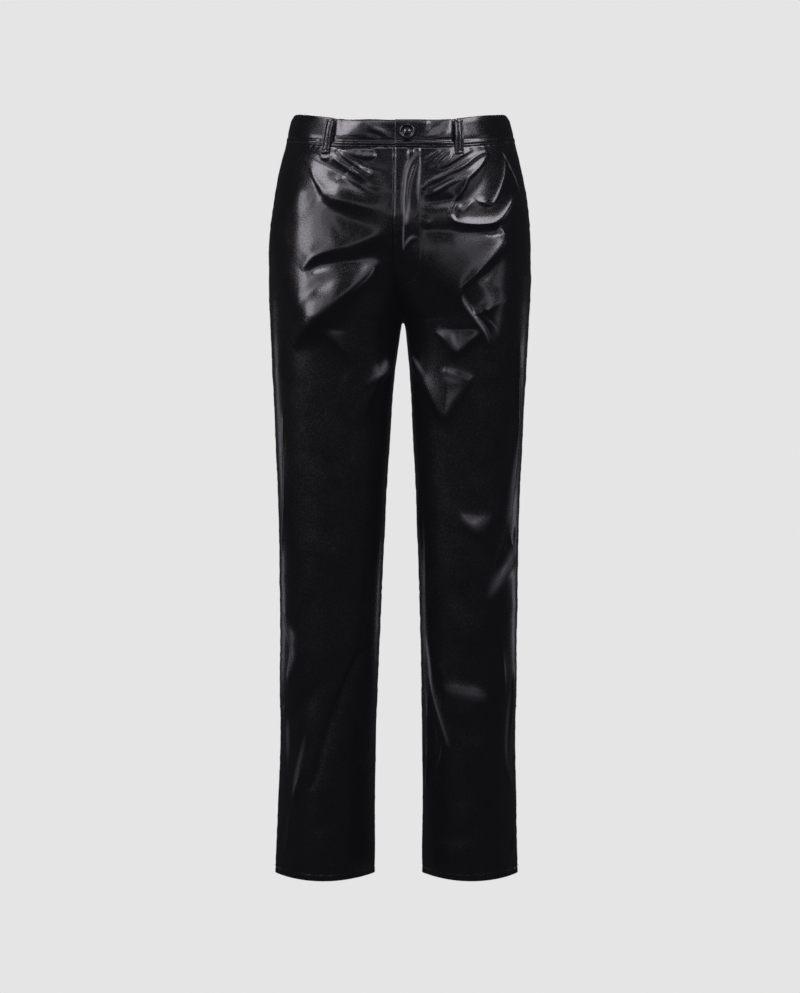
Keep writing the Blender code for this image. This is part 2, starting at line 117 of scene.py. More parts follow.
# Sections of the garment, from the band down to the hem
SECTION_COLUMNS = "z left_x right_x front_y back_y mid_y left_crease_x right_crease_x corner"
SECTIONS = [
    (24, 147.0, -145.8, 95, 99, 0, 31.5, -41.7, 0.50),
    (0, 152.4, -151.1, 98, 102, 0, 34.4, -44.5, 0.50),
    (-20, 157.8, -155.8, 100, 105, 0, 37.3, -47.3, 0.50),
    (-60, 167.7, -166.5, 106, 113, 1, 43.4, -53.5, 0.50),
    (-100, 175.0, -173.2, 110, 121, 2, 48.8, -59.0, 0.50),
    (-150, 179.4, -179.6, 112, 127, 3, 57.0, -68.2, 0.50),
    (-200, 180.0, -180.5, 110, 126, 5, 69.7, -78.4, 0.50),
    (-235, 179.4, -180.2, 106, 120, 6, 80.0, -83.6, 0.50),
    (-265, 177.7, -178.9, 101, 112, 6, 87.6, -86.8, 0.50),
    (-300, 175.8, -177.3, 96, 103, 5, 91.8, -89.3, 0.50),
    (-360, 172.0, -174.3, 89, 93, 4, 93.3, -91.6, 0.50),
    (-440, 167.6, -170.4, 81, 84, 2, 93.4, -92.6, 0.52),
    (-540, 163.4, -166.7, 74, 76, 0, 93.5, -93.8, 0.56),
    (-640, 161.6, -165.2, 70, 73, 0, 94.1, -94.7, 0.64),
    (-740, 160.6, -165.4, 69, 73, 1, 94.5, -96.3, 0.74),
    (-820, 159.5, -165.2, 70, 73, 3, 94.7, -98.2, 0.82),
    (-900, 160.0, -167.0, 71, 73, 4, 95.2, -99.8, 0.88),
    (-980, 161.8, -170.9, 72, 72, 4, 96.0, -102.2, 0.92),
    (-1022, 163.2, -172.8, 72, 72, 4, 96.4, -103.1, 0.94),
]
CENTRE_COLUMNS = "z front back"
CENTRES = [
    (24, -7.0, 0.0),
    (-100, -7.6, 0.3),
    (-160, -8.6, 0.8),
    (-222, -5.0, 2.6),
    (-265, 3.9, 3.9),
]
INSEAM_COLUMNS = "depth left_x right_x corner"
INSEAMS = [
    (0, 3.9, 3.9, 0.50),
    (10, 7.8, 0.6, 0.50),
    (35, 10.1, -2.4, 0.50),
    (95, 14.6, -9.0, 0.50),
    (175, 19.0, -14.7, 0.52),
    (275, 23.2, -20.5, 0.58),
    (375, 26.2, -24.7, 0.66),
    (475, 28.6, -29.0, 0.76),
    (555, 29.8, -32.3, 0.84),
    (635, 30.4, -33.3, 0.90),
    (715, 30.0, -34.0, 0.94),
    (757, 29.6, -34.0, 0.96),
]

# Folds. Each is a ridge or a trough along a curve through its points: x and z as seen from the front,
# height over the plain form there (below 0 for a trough) and width to either side. lean makes the left
# side of the way wider than the right (above 0) or narrower, and crest is how round its top is.
# Each row is lean, crest and the points.
FRONT_FOLDS = [
    # wearer's right hip: pulls from the belt loop
    (0.1, 0.25, (-88, -41, 0, 2.6), (-77, -51, 2, 3.2), (-62, -63, 2.2, 3.4), (-48, -73, 2, 3.6),
     (-36, -79, 0, 4)),
    (0.1, 0.25, (-94, -49, 0, 2.6), (-84, -58, 2, 3), (-68, -70, 2.2, 3.2), (-53, -80, 1.8, 3.4),
     (-42, -88, 0, 4)),
    (0, 0.8, (-82, -54, 0, 3), (-62, -68, -0.8, 4), (-46, -80, 0, 4)),
    (0, 0.7, (-126, -48, 0, 7), (-102, -62, -2.6, 8), (-85, -72, -3.4, 9), (-66, -86, -3.2, 9),
     (-48, -97, -2.4, 9), (-26, -108, 0, 9)),
    (0, 0.3, (-109, -46, 0, 1.6), (-105, -52, 1, 1.8), (-98, -54, 1.1, 1.8), (-92, -52, 0, 1.6)),
    # under the waistband beside the fly
    (0.5, 0.35, (-88, -41, 0, 4), (-74, -46, 1.6, 5), (-60, -52, 2.4, 5.6), (-46, -54.5, 2.6, 6),
     (-36, -54, 2, 5), (-30, -52, 0, 4)),
    (0, 0.8, (-60, -68, 0, 5), (-40, -68, -1.6, 6), (-20, -74, -1.2, 7), (-6, -80, 0, 6)),
    (0, 0.9, (-50, -88, 0, 6), (-32, -92, 1.6, 9), (-14, -92, 0, 8)),
    # the three lobes and the valleys between them
    (0.35, 0.6, (-124, -56, 0, 5), (-116, -76, 1.2, 5), (-106, -92, 2.4, 8), (-97, -104, 4.2, 13),
     (-84, -111, 5, 18), (-68, -115, 4.2, 21), (-45, -120, 2.4, 21), (-20, -126, 0, 20)),
    (0, 0.4, (-118, -66, 0, 3), (-112, -82, 1.4, 3.5), (-100, -100, 1.2, 4), (-92, -108, 0, 4)),
    (0, 0.7, (-96, -74, 0, 3), (-88, -80, -0.6, 4.5), (-82, -88, 0, 3)),
    (0, 0.85, (-108, -112, 0, 6), (-84, -124, -2, 11), (-60, -141, -2.6, 14), (-20, -152, 0, 15)),
    (0.35, 0.55, (-130, -204, 0, 7), (-122, -195, 1.6, 9), (-110, -185, 3.6, 12), (-88, -178, 4.2, 16),
     (-60, -172, 3.4, 16), (-36, -162, 2.4, 13), (-16, -156, 0, 11)),
    (0, 0.6, (-68, -146, 0, 2), (-66, -158, 0.4, 2.5), (-66, -170, 0, 2.5)),
    (0, 0.8, (-120, -216, 0, 4), (-117, -205, -1.2, 6), (-106, -198, -2.6, 9.5), (-88, -195, -3.2, 11),
     (-60, -192, -3.2, 12), (-30, -182, -2, 12), (-14, -174, 0, 9)),
    (-0.5, 0.35, (-26, -192, 0, 8), (-40, -205, 4.5, 14), (-56, -219, 9, 20), (-74, -235, 14, 25),
     (-92, -252, 17, 27), (-108, -268, 17, 26), (-122, -282, 13, 21), (-134, -294, 6, 14),
     (-142, -304, 0, 10)),
    (0, 0.8, (-66, -210, 0, 8), (-88, -214, -1.3, 11), (-106, -223, -1.6, 11), (-122, -237, -1.1, 9),
     (-130, -250, 0, 6)),
    # ripples on the lobes and a swell at the side
    (0, 0.8, (-100, -122, 0, 6), (-92, -138, -0.9, 9), (-82, -156, -0.9, 9), (-76, -170, 0, 6)),
    (0, 0.8, (-78, -124, 0, 6), (-68, -136, 0.8, 9), (-60, -150, 0.8, 9), (-54, -162, 0, 6)),
    (0, 0.85, (-148, -96, 0, 14), (-136, -97, 2.4, 20), (-124, -97, 2, 18), (-114, -97, 0, 10)),
    # wearer's right thigh
    (0.6, 0.35, (-113, -281, 0, 5), (-98, -291, 2.6, 10), (-83, -304, 3.2, 12), (-72, -317, 1.6, 10),
     (-66, -330, 0, 6)),
    (0, 0.7, (-112, -279, 0, 4), (-90, -281, -1.2, 5), (-68, -282, 0, 4)),
    (-0.3, 0.4, (-4, -302, 0, 5), (-16, -325, 5, 8), (-28, -346, 4.8, 9), (-44, -378, 2.6, 10),
     (-56, -412, 0, 8)),
    (0.3, 0.5, (-60, -330, 0, 6), (-76, -357, 1.5, 8), (-74, -389, 1.2, 8), (-65, -420, 0, 6)),
    (0, 0.8, (-62, -430, 0, 6), (-60, -470, 0.9, 8), (-62, -520, 0, 8)),
    (-0.4, 0.35, (-10, -322, 0, 4), (-19, -334, 3.6, 7.5), (-30, -342, 4, 8.5), (-42, -353, 1.6, 7),
     (-50, -362, 0, 5)),
    # wearer's left hip: gathers under the waistband
    (-0.3, 0.3, (57, -42, 0, 1.8), (46, -50, 1.2, 2.2), (35, -57, 1.2, 2.2), (29, -62, 0, 2)),
    (-0.3, 0.3, (67, -42, 0, 1.8), (57, -51, 1.2, 2.2), (47.5, -60, 1.2, 2.2), (36, -70, 0, 2.2)),
    (-0.3, 0.35, (69, -43, 0, 1.8), (65, -53, 1.2, 2.2), (56, -62, 1.5, 3), (50, -68, 0, 2.4)),
    (-0.3, 0.3, (98, -42, 0, 2.4), (83, -50, 1.8, 2.8), (73, -57, 2, 3.2), (62, -64.5, 1.8, 3),
     (49, -70.5, 0, 2.8)),
    (0, 0.75, (94, -52, 0, 4), (78, -62, -0.8, 4.5), (58, -74, -0.8, 5), (42, -80, 0, 5)),
    # pulls towards the fly
    (-0.25, 0.25, (119, -42, 0, 2.8), (103, -51, 2, 3.2), (88, -63, 2.2, 3.4), (77, -69.5, 2.2, 3.6),
     (66, -75, 2, 3.4), (55, -81, 2.2, 3.6), (43, -87, 2.2, 4), (34, -93, 2.2, 4.4), (29, -99, 0, 4)),
    (0, 0.75, (96, -68, 0, 4), (78, -80, -0.8, 4.5), (54, -92, -0.8, 4.5), (36, -100, 0, 4)),
    (-0.25, 0.25, (92, -80, 0, 3), (76, -85, 2, 3.8), (64, -91, 2.2, 3.6), (52, -98.5, 2.2, 3.4),
     (43, -103, 2, 3.2), (34, -106.6, 0, 3)),
    (0, 0.5, (46, -94, 0, 2.4), (38, -98, 0.6, 2.8), (34, -105, 0.4, 2.8), (33, -110, 0, 2.4)),
    (0, 0.75, (26, -117, 0, 6), (46, -115, -2.6, 8), (66, -112, -2.8, 8), (78, -114, -1.4, 7),
     (84, -120, 0, 5)),
    (0, 0.9, (40, -126, 0, 6), (56, -126, 0.5, 8), (68, -122, 0, 6)),
    # the hook
    (-0.3, 0.25, (119, -42, 0, 2.6), (110, -60, 2.2, 3.4), (100, -72, 2.8, 4.4), (90.7, -81, 3, 4.8),
     (84.8, -94, 2.6, 4), (77, -107, 2, 3), (71, -116, 1.8, 2.6), (66.5, -125, 1.8, 2.8), (66, -131, 0, 3)),
    (0.2, 0.3, (66, -124, 0, 3), (67, -133, 2, 3.6), (74, -141, 3.8, 5.4), (90, -143.5, 4.6, 6.2),
     (106, -143.5, 4.6, 6.2), (122, -141, 4.6, 6.2), (133, -134, 4, 5.4), (141, -124, 3.6, 4.4),
     (149, -109, 3, 3.8), (154, -95, 0, 3.6)),
    (0.3, 0.35, (98, -110, 0, 2.6), (90, -118, 1.4, 3.2), (82, -126, 1.5, 3.4), (74, -134, 0, 3)),
    (0, 0.75, (114, -70, 0, 6), (106, -88, -1.2, 7), (94, -104, -1.4, 7), (86, -116, -1, 6),
     (82, -126, 0, 5)),
    # inside the hook and at the side
    (0.1, 0.4, (100, -111, 0, 3), (108, -113, 1.6, 4), (116, -114.5, 1.8, 4.4), (124, -117, 0, 3)),
    (-0.4, 0.3, (142, -44, 0, 2.2), (142, -56, 1.8, 2.4), (140.5, -73, 2.2, 2.6), (136.7, -88, 2, 2.6),
     (131, -103, 1.6, 2.6), (125, -113, 1.2, 2.6), (118, -117, 0, 2.4)),
    (0, 0.85, (22, -148, 0, 8), (44, -151, -1.6, 10), (76, -154, -2, 12), (104, -152, -2.2, 12),
     (124, -150, -1.8, 10), (136, -146, 0, 7)),
    # the S-shaped fold and the patches beside it
    (-0.3, 0.3, (132, -145, 0, 5), (138, -153, 3.4, 6.4), (137, -164, 4, 7), (128, -178, 4, 7),
     (114, -195, 3.6, 6.6), (100, -210, 3.2, 6), (86, -223, 2.6, 4.8), (82, -232, 2.6, 4),
     (85, -244, 3, 4.4), (92, -255, 3.6, 5), (104, -271, 3.8, 5.4), (112, -282, 3, 5), (118, -294, 1.4, 4),
     (120, -306, 0, 4)),
    (0, 0.7, (136, -182, 0, 6), (127, -198, -1.8, 8), (114, -211, -2, 8), (100, -219, 0, 6)),
    (0.45, 0.4, (97, -262, 0, 7), (110, -258, 4, 11), (122, -252, 6.4, 14), (134, -243, 5, 13),
     (144, -232, 0, 9)),
    (0.2, 0.4, (100, -256, 0, 4), (110, -265, 1.8, 4.5), (121, -276, 2.4, 5), (132, -289, 1.8, 4.5),
     (138, -299, 0, 3)),
    (0.45, 0.6, (14, -168, 0, 14), (28, -187, 3.6, 20), (43, -203, 4.6, 22), (59, -218, 4.6, 22),
     (72, -234, 3.6, 18), (84, -256, 0, 12)),
    (0.2, 0.4, (104, -248, 0, 3), (116, -258, 1.4, 3.5), (128, -270, 1.8, 4), (138, -284, 0, 3)),
    # wearer's left thigh
    (0, 0.4, (114, -281, 0, 3), (121, -300, 0.9, 4), (116, -326, 0, 4)),
    (0.6, 0.4, (46, -283, 0, 6), (60, -296, 3.2, 10), (76, -313, 4.6, 12), (95, -298, 3.4, 11),
     (116, -283, 0, 6)),
    (0, 0.7, (52, -280, 0, 4), (82, -282, -1.4, 5), (112, -280, 0, 4)),
    (0.5, 0.4, (14, -318, 0, 5), (26, -340, 4.6, 10), (42, -368, 4.6, 13), (60, -398, 3.4, 14),
     (76, -376, 3.4, 12), (92, -353, 2.4, 8), (99, -342, 0, 5)),
    (0.2, 0.6, (54, -337, 0, 4), (64, -341, 2, 5.5), (78, -346, 2.6, 6.5), (93, -351, 0, 5)),
    # fly
    (-0.4, 0.3, (30, -43, 0, 2.4), (20, -51, 1.2, 2.8), (12, -61, 1.5, 2.8), (7.6, -79, 1.3, 2.6),
     (5, -97, 1.2, 2.4), (5, -112, 1.2, 2.4), (6.2, -127, 1.3, 2.6), (8.5, -140, 1.5, 3.2),
     (9.5, -148, 0, 3)),
    (-0.4, 0.3, (26, -55, 0, 2), (19.5, -69, 1.3, 2.4), (15, -82, 1.4, 2.4), (12, -97, 1.4, 2.4),
     (11.3, -112, 1.3, 2.4), (11.3, -127, 1.1, 2.6), (10, -141, 0, 3)),
    (0, 0.4, (12, -41, 0, 2), (12, -50, 1.4, 2.6), (11, -58, 0, 2)),
    (0, 0.4, (17, -41, 0, 2), (17, -47, 1.2, 2.4), (16, -53, 0, 2)),
    (-0.3, 0.3, (27.5, -55, 0, 1.6), (26.9, -67, 1, 1.9), (25.4, -85, 1.1, 1.9), (24.7, -100, 1.1, 1.9),
     (25.2, -118, 1, 1.9), (24.7, -127, 0.9, 1.9), (21, -139, 0, 2.2)),
    (0.2, 0.35, (6, -176, 0, 2.4), (8, -171, 1.2, 3), (11.5, -166, 1.5, 3.2), (16, -162, 1.2, 3.2),
     (22, -159, 0, 3)),
    (0, 0.5, (30, -132, 0, 3), (36, -142, 1.6, 4.5), (34, -150, 0, 4)),
    # crotch
    (0, 0.7, (8, -268, 0, 4), (34, -266, -0.8, 5), (60, -264, 0, 5)),
    (0, 0.7, (-4, -268, 0, 4), (-34, -269, -0.8, 5), (-58, -267, 0, 5)),
    # wearer's right leg: its edge and the crescents there
    (0, 0.4, (-158, -380, 0, 5), (-157, -430, 2, 6), (-155, -480, 2.4, 6), (-156, -515, 2.4, 5),
     (-160, -552, 1.6, 4), (-161, -590, 0, 4)),
    (0, 0.4, (-132, -624, 0, 5), (-137, -650, 1.4, 6), (-143, -680, 0, 5)),
    (0.2, 0.35, (-158, -660, 0, 4), (-152, -680, 3.2, 6), (-145.5, -698, 4.6, 7), (-143, -716, 4.8, 7),
     (-146.5, -736, 4, 6), (-153, -760, 0, 5)),
    (0, 0.35, (-160, -790, 0, 4), (-156, -812, 2.2, 5), (-153, -838, 2.2, 5), (-156, -870, 0, 4)),
    (0, 0.4, (-126, -850, 0, 4), (-133, -880, 3.2, 6), (-142, -910, 2.4, 6), (-148, -924, 0, 5)),
    (0.2, 0.5, (-150, -930, 0, 6), (-150, -950, 1.8, 9), (-152, -972, 2.2, 9), (-160, -980, 0, 7)),
    # valleys over the shin, and the knee
    (0.4, 0.8, (-46, -702, 0, 5), (-62, -730, -3.6, 7), (-85, -785, -5, 8.5), (-99, -821, -5, 8.5),
     (-115, -879, -3.2, 7), (-123, -904, 0, 5)),
    (0, 0.8, (-104, -748, 0, 8), (-122, -776, -2, 12), (-146, -806, -1.6, 12), (-160, -812, 0, 9)),
    (0, 0.8, (-86, -920, 0, 7), (-102, -944, -2, 12), (-118, -956, 0, 10)),
    (0, 0.5, (-40, -852, 0, 5), (-52, -866, 1.4, 6), (-66, -880, 0, 6)),
    (0, 0.5, (-66, -452, 0, 3), (-62, -461, 0.8, 3), (-58, -470, 0, 3)),
    (0, 0.9, (-130, -560, 0, 14), (-100, -580, 1.4, 18), (-66, -600, 0, 14)),
    # wearer's left leg: its edge
    (0, 0.4, (162, -290, 0, 4), (161, -330, 2, 5), (159, -400, 2.8, 6), (156, -455, 3.2, 6),
     (150, -505, 3.6, 6), (146, -540, 3.6, 6.5), (150, -575, 2.4, 6), (156, -596, 0, 5)),
    (0.2, 0.4, (160, -540, 0, 5), (156, -560, 2.4, 6), (150, -588, 4.6, 8), (137, -612, 4.8, 9),
     (128, -630, 3, 8), (118, -648, 0, 6)),
    (0.2, 0.4, (150, -520, 0, 5), (143, -548, 2.6, 6), (136, -580, 2.4, 7), (124, -606, 0, 6)),
    # knee
    (0.2, 0.4, (78, -527, 0, 4), (90, -538, 2.2, 5), (104, -542, 3, 7), (118, -536, 1.6, 6),
     (126, -528, 0, 5)),
    (0, 0.4, (84, -534, 0, 4), (98, -548, 2.6, 5.5), (110, -556, 1.8, 5), (118, -548, 0, 4)),
    # lines and streaks over the shin
    (0.3, 0.3, (26, -470, 0, 2.4), (27, -528, 2, 2.8), (33, -598, 2.8, 2.8), (37, -677, 3, 2.8),
     (38, -725, 3.2, 3.2), (43, -759, 3.2, 4), (53, -796, 3.2, 4.5), (65, -834, 0, 4)),
    (0.3, 0.3, (38, -770, 0, 2.4), (38.5, -820, 2.6, 2.8), (38, -870, 2.6, 2.8), (35.5, -902, 0, 2.4)),
    (0, 0.7, (40, -786, 0, 4), (50, -820, -2.4, 6), (52, -850, -2.4, 6), (44, -884, 0, 5)),
    (0.25, 0.4, (54, -757, 0, 4), (68, -764, 2.4, 6), (88, -767, 3.2, 7), (108, -771, 3.2, 6.5),
     (124, -775, 0, 5)),
    (0, 0.5, (50, -728, 0, 3), (56, -742, 1.2, 4), (60, -752, 0, 3)),
    # outer edge and hem
    (0, 0.4, (138, -700, 0, 5), (140, -740, 1.6, 6), (143, -790, 0, 5)),
    (0, 0.4, (158, -740, 0, 4), (154, -770, 2.2, 5), (151, -808, 2.4, 5.5), (147, -860, 2.4, 6),
     (148, -886, 1.6, 5), (156, -900, 0, 4)),
    (0, 0.8, (46, -968, 0, 8), (74, -966, -2, 12), (104, -950, -1.6, 12), (116, -944, 0, 8)),
    (0, 0.4, (156, -950, 0, 4), (155, -975, 2.2, 5.5), (149, -996, 2.2, 6), (126, -1004, 0, 5)),
    # broad swells
    (0, 0.9, (70, -640, 0, 14), (96, -690, 1.6, 22), (112, -740, 0, 16)),
    (0, 0.9, (80, -830, 0, 16), (104, -860, 1.8, 24), (116, -900, 0, 18)),
    # fly, below its pulls
    (0, 0.35, (4.6, -146, 0, 1.8), (4.6, -156, 0.8, 2), (5, -168, 0.8, 2), (6, -177, 0, 1.8)),
]
BACK_FOLDS = [
    # seat, wearer's left
    (0.2, 0.4, (10, -40, 0, 4), (34, -58, 2.2, 6), (66, -74, 2.8, 8), (98, -80, 2, 8), (124, -74, 0, 6)),
    (0.2, 0.4, (12, -72, 0, 5), (40, -92, 2.4, 7), (76, -106, 3, 9), (110, -108, 1.8, 8), (134, -100, 0, 6)),
    (0, 0.7, (20, -62, 0, 4), (50, -82, -1.8, 6), (84, -92, -2, 7), (116, -90, 0, 5)),
    (0.4, 0.45, (16, -186, 0, 8), (44, -190, 3, 12), (84, -182, 4.6, 15), (124, -164, 4, 14),
     (156, -140, 2, 10), (176, -128, 0.8, 8)),
    (0.45, 0.4, (22, -248, 0, 8), (46, -262, 4, 12), (78, -268, 6, 15), (110, -258, 5.4, 15),
     (140, -240, 3, 12), (164, -226, 0, 8)),
    (0, 0.7, (18, -268, 0, 7), (50, -290, -3, 10), (86, -298, -3.6, 11), (124, -284, -2.4, 10),
     (152, -268, 0, 8)),
    (0.2, 0.4, (14, -296, 0, 5), (34, -318, 2.6, 8), (62, -334, 2.8, 9), (98, -336, 0, 8)),
    (0, 0.4, (16, -330, 0, 5), (30, -358, 2.2, 8), (48, -392, 1.6, 9), (60, -424, 0, 7)),
    (0, 0.35, (152, -40, 0, 4), (146, -70, 2, 5), (136, -98, 2.2, 6), (118, -120, 0, 5)),
    (0, 0.5, (92, -128, 0, 5), (110, -140, 2, 7), (134, -138, 1.4, 7), (150, -128, 0, 5)),
    # seat, wearer's right
    (-0.2, 0.4, (-10, -48, 0, 4), (-36, -70, 2.2, 6), (-64, -90, 2.8, 8), (-94, -104, 1.8, 8),
     (-120, -108, 0, 6)),
    (0, 0.4, (-96, -44, 0, 4), (-112, -66, 2.2, 6), (-122, -94, 2.4, 7), (-124, -120, 0, 6)),
    (0, 0.7, (-30, -86, 0, 5), (-58, -108, -2.2, 7), (-92, -122, -2, 8), (-120, -126, 0, 6)),
    (-0.4, 0.45, (-14, -176, 0, 8), (-46, -184, 3.2, 12), (-90, -180, 5, 15), (-130, -158, 3.8, 14),
     (-160, -136, 2, 10), (-178, -122, 0.6, 8)),
    (-0.45, 0.4, (-18, -240, 0, 8), (-44, -256, 4.2, 12), (-80, -262, 6.2, 16), (-116, -250, 5.2, 15),
     (-144, -228, 2.6, 12), (-166, -212, 0, 8)),
    (0, 0.7, (-16, -262, 0, 7), (-48, -284, -3, 10), (-88, -292, -3.8, 11), (-126, -276, -2.4, 10),
     (-154, -258, 0, 8)),
    (-0.2, 0.4, (-12, -290, 0, 5), (-30, -316, 2.8, 8), (-58, -338, 3, 9), (-96, -344, 0, 8)),
    (0, 0.4, (-130, -300, 0, 6), (-112, -330, 2, 8), (-92, -368, 1.6, 9), (-80, -400, 0, 7)),
    (0, 0.5, (-100, -130, 0, 5), (-118, -142, 1.8, 7), (-140, -134, 0, 6)),
    # back of the wearer's left leg
    (0.3, 0.4, (44, -500, 0, 5), (70, -510, 3, 7), (104, -508, 3.4, 8), (134, -496, 1.6, 6),
     (152, -486, 0, 5)),
    (0.3, 0.4, (40, -534, 0, 5), (64, -546, 2.8, 7), (92, -552, 3.6, 8), (122, -546, 2.6, 7),
     (150, -530, 0, 5)),
    (0.3, 0.4, (56, -574, 0, 5), (82, -584, 2.6, 7), (108, -582, 2.6, 7), (134, -570, 0, 5)),
    (0, 0.7, (48, -524, 0, 5), (80, -532, -2.4, 6), (112, -530, -2.4, 6), (138, -516, 0, 5)),
    (0, 0.4, (150, -470, 0, 5), (130, -506, 2, 6), (120, -540, 0, 5)),
    (0.2, 0.4, (134, -640, 0, 6), (112, -680, 2.6, 9), (92, -724, 2.6, 10), (76, -772, 0, 8)),
    (0, 0.4, (56, -700, 0, 5), (70, -760, 2, 7), (88, -820, 2, 8), (104, -868, 0, 7)),
    (0.3, 0.45, (44, -930, 0, 6), (72, -944, 2.4, 9), (108, -946, 2.6, 9), (140, -930, 0, 7)),
    (0, 0.8, (50, -962, 0, 6), (88, -972, -1.8, 10), (126, -962, 0, 8)),
    # back of the wearer's right leg
    (-0.3, 0.4, (-46, -514, 0, 5), (-72, -522, 3, 7), (-102, -518, 3.4, 8), (-132, -502, 1.8, 6),
     (-152, -494, 0, 5)),
    (-0.3, 0.4, (-42, -550, 0, 5), (-70, -560, 3, 7), (-104, -562, 3.2, 8), (-130, -550, 0, 6)),
    (-0.3, 0.4, (-60, -592, 0, 5), (-88, -600, 2.4, 7), (-118, -592, 1.8, 7), (-146, -574, 0, 5)),
    (0, 0.7, (-50, -534, 0, 5), (-84, -542, -2.4, 6), (-118, -538, 0, 6)),
    (0, 0.4, (-36, -470, 0, 5), (-52, -500, 2, 6), (-62, -530, 0, 5)),
    (0, 0.4, (-62, -660, 0, 6), (-84, -704, 2.4, 9), (-104, -756, 2.6, 10), (-122, -806, 0, 8)),
    (0, 0.4, (-142, -740, 0, 5), (-130, -790, 2, 7), (-112, -838, 1.6, 8), (-98, -872, 0, 7)),
    (-0.3, 0.45, (-48, -918, 0, 6), (-80, -934, 2.6, 9), (-116, -932, 2.2, 9), (-146, -912, 0, 7)),
    (0, 0.8, (-52, -952, 0, 6), (-92, -962, -1.8, 10), (-132, -948, 0, 8)),
]
FOLDS = {"front": FRONT_FOLDS, "back": BACK_FOLDS}

# Creases across the side seams: their heights in front, on the seam and behind, and x and z of five
# points from front to back, the third of them on the seam
SIDE_CREASES = [
    (0.64, 0.768, 0.64, (148, -196), (164, -204), (180, -206), (166, -200), (148, -188)),
    (0.576, 0.704, 0.576, (152, -330), (164, -342), (174, -346), (164, -344), (148, -330)),
    (0.64, 0.768, 0.64, (-146, -160), (-164, -170), (-179, -172), (-166, -168), (-150, -156)),
    (0.576, 0.704, 0.576, (-150, -322), (-164, -332), (-175, -335), (-164, -334), (-148, -318)),
    (0.576, 0.64, 0.576, (146, -640), (156, -652), (162, -656), (154, -654), (140, -640)),
    (0.512, 0.64, 0.576, (-150, -604), (-158, -614), (-165, -618), (-156, -616), (-142, -604)),
]
SIDE_WIDTHS = (7.5, 10, 11.2, 10, 7.5)
SIDE_LEAN, SIDE_CREST = 0, 0.45
for in_front, on_seam, behind, *places in SIDE_CREASES:
    heights = (0, in_front, on_seam, behind, 0)
    crease = [(*place, height, width) for place, height, width in zip(places, heights, SIDE_WIDTHS)]
    FRONT_FOLDS.append((SIDE_LEAN, SIDE_CREST, *crease[:3]))
    BACK_FOLDS.append((SIDE_LEAN, SIDE_CREST, *crease[2:]))

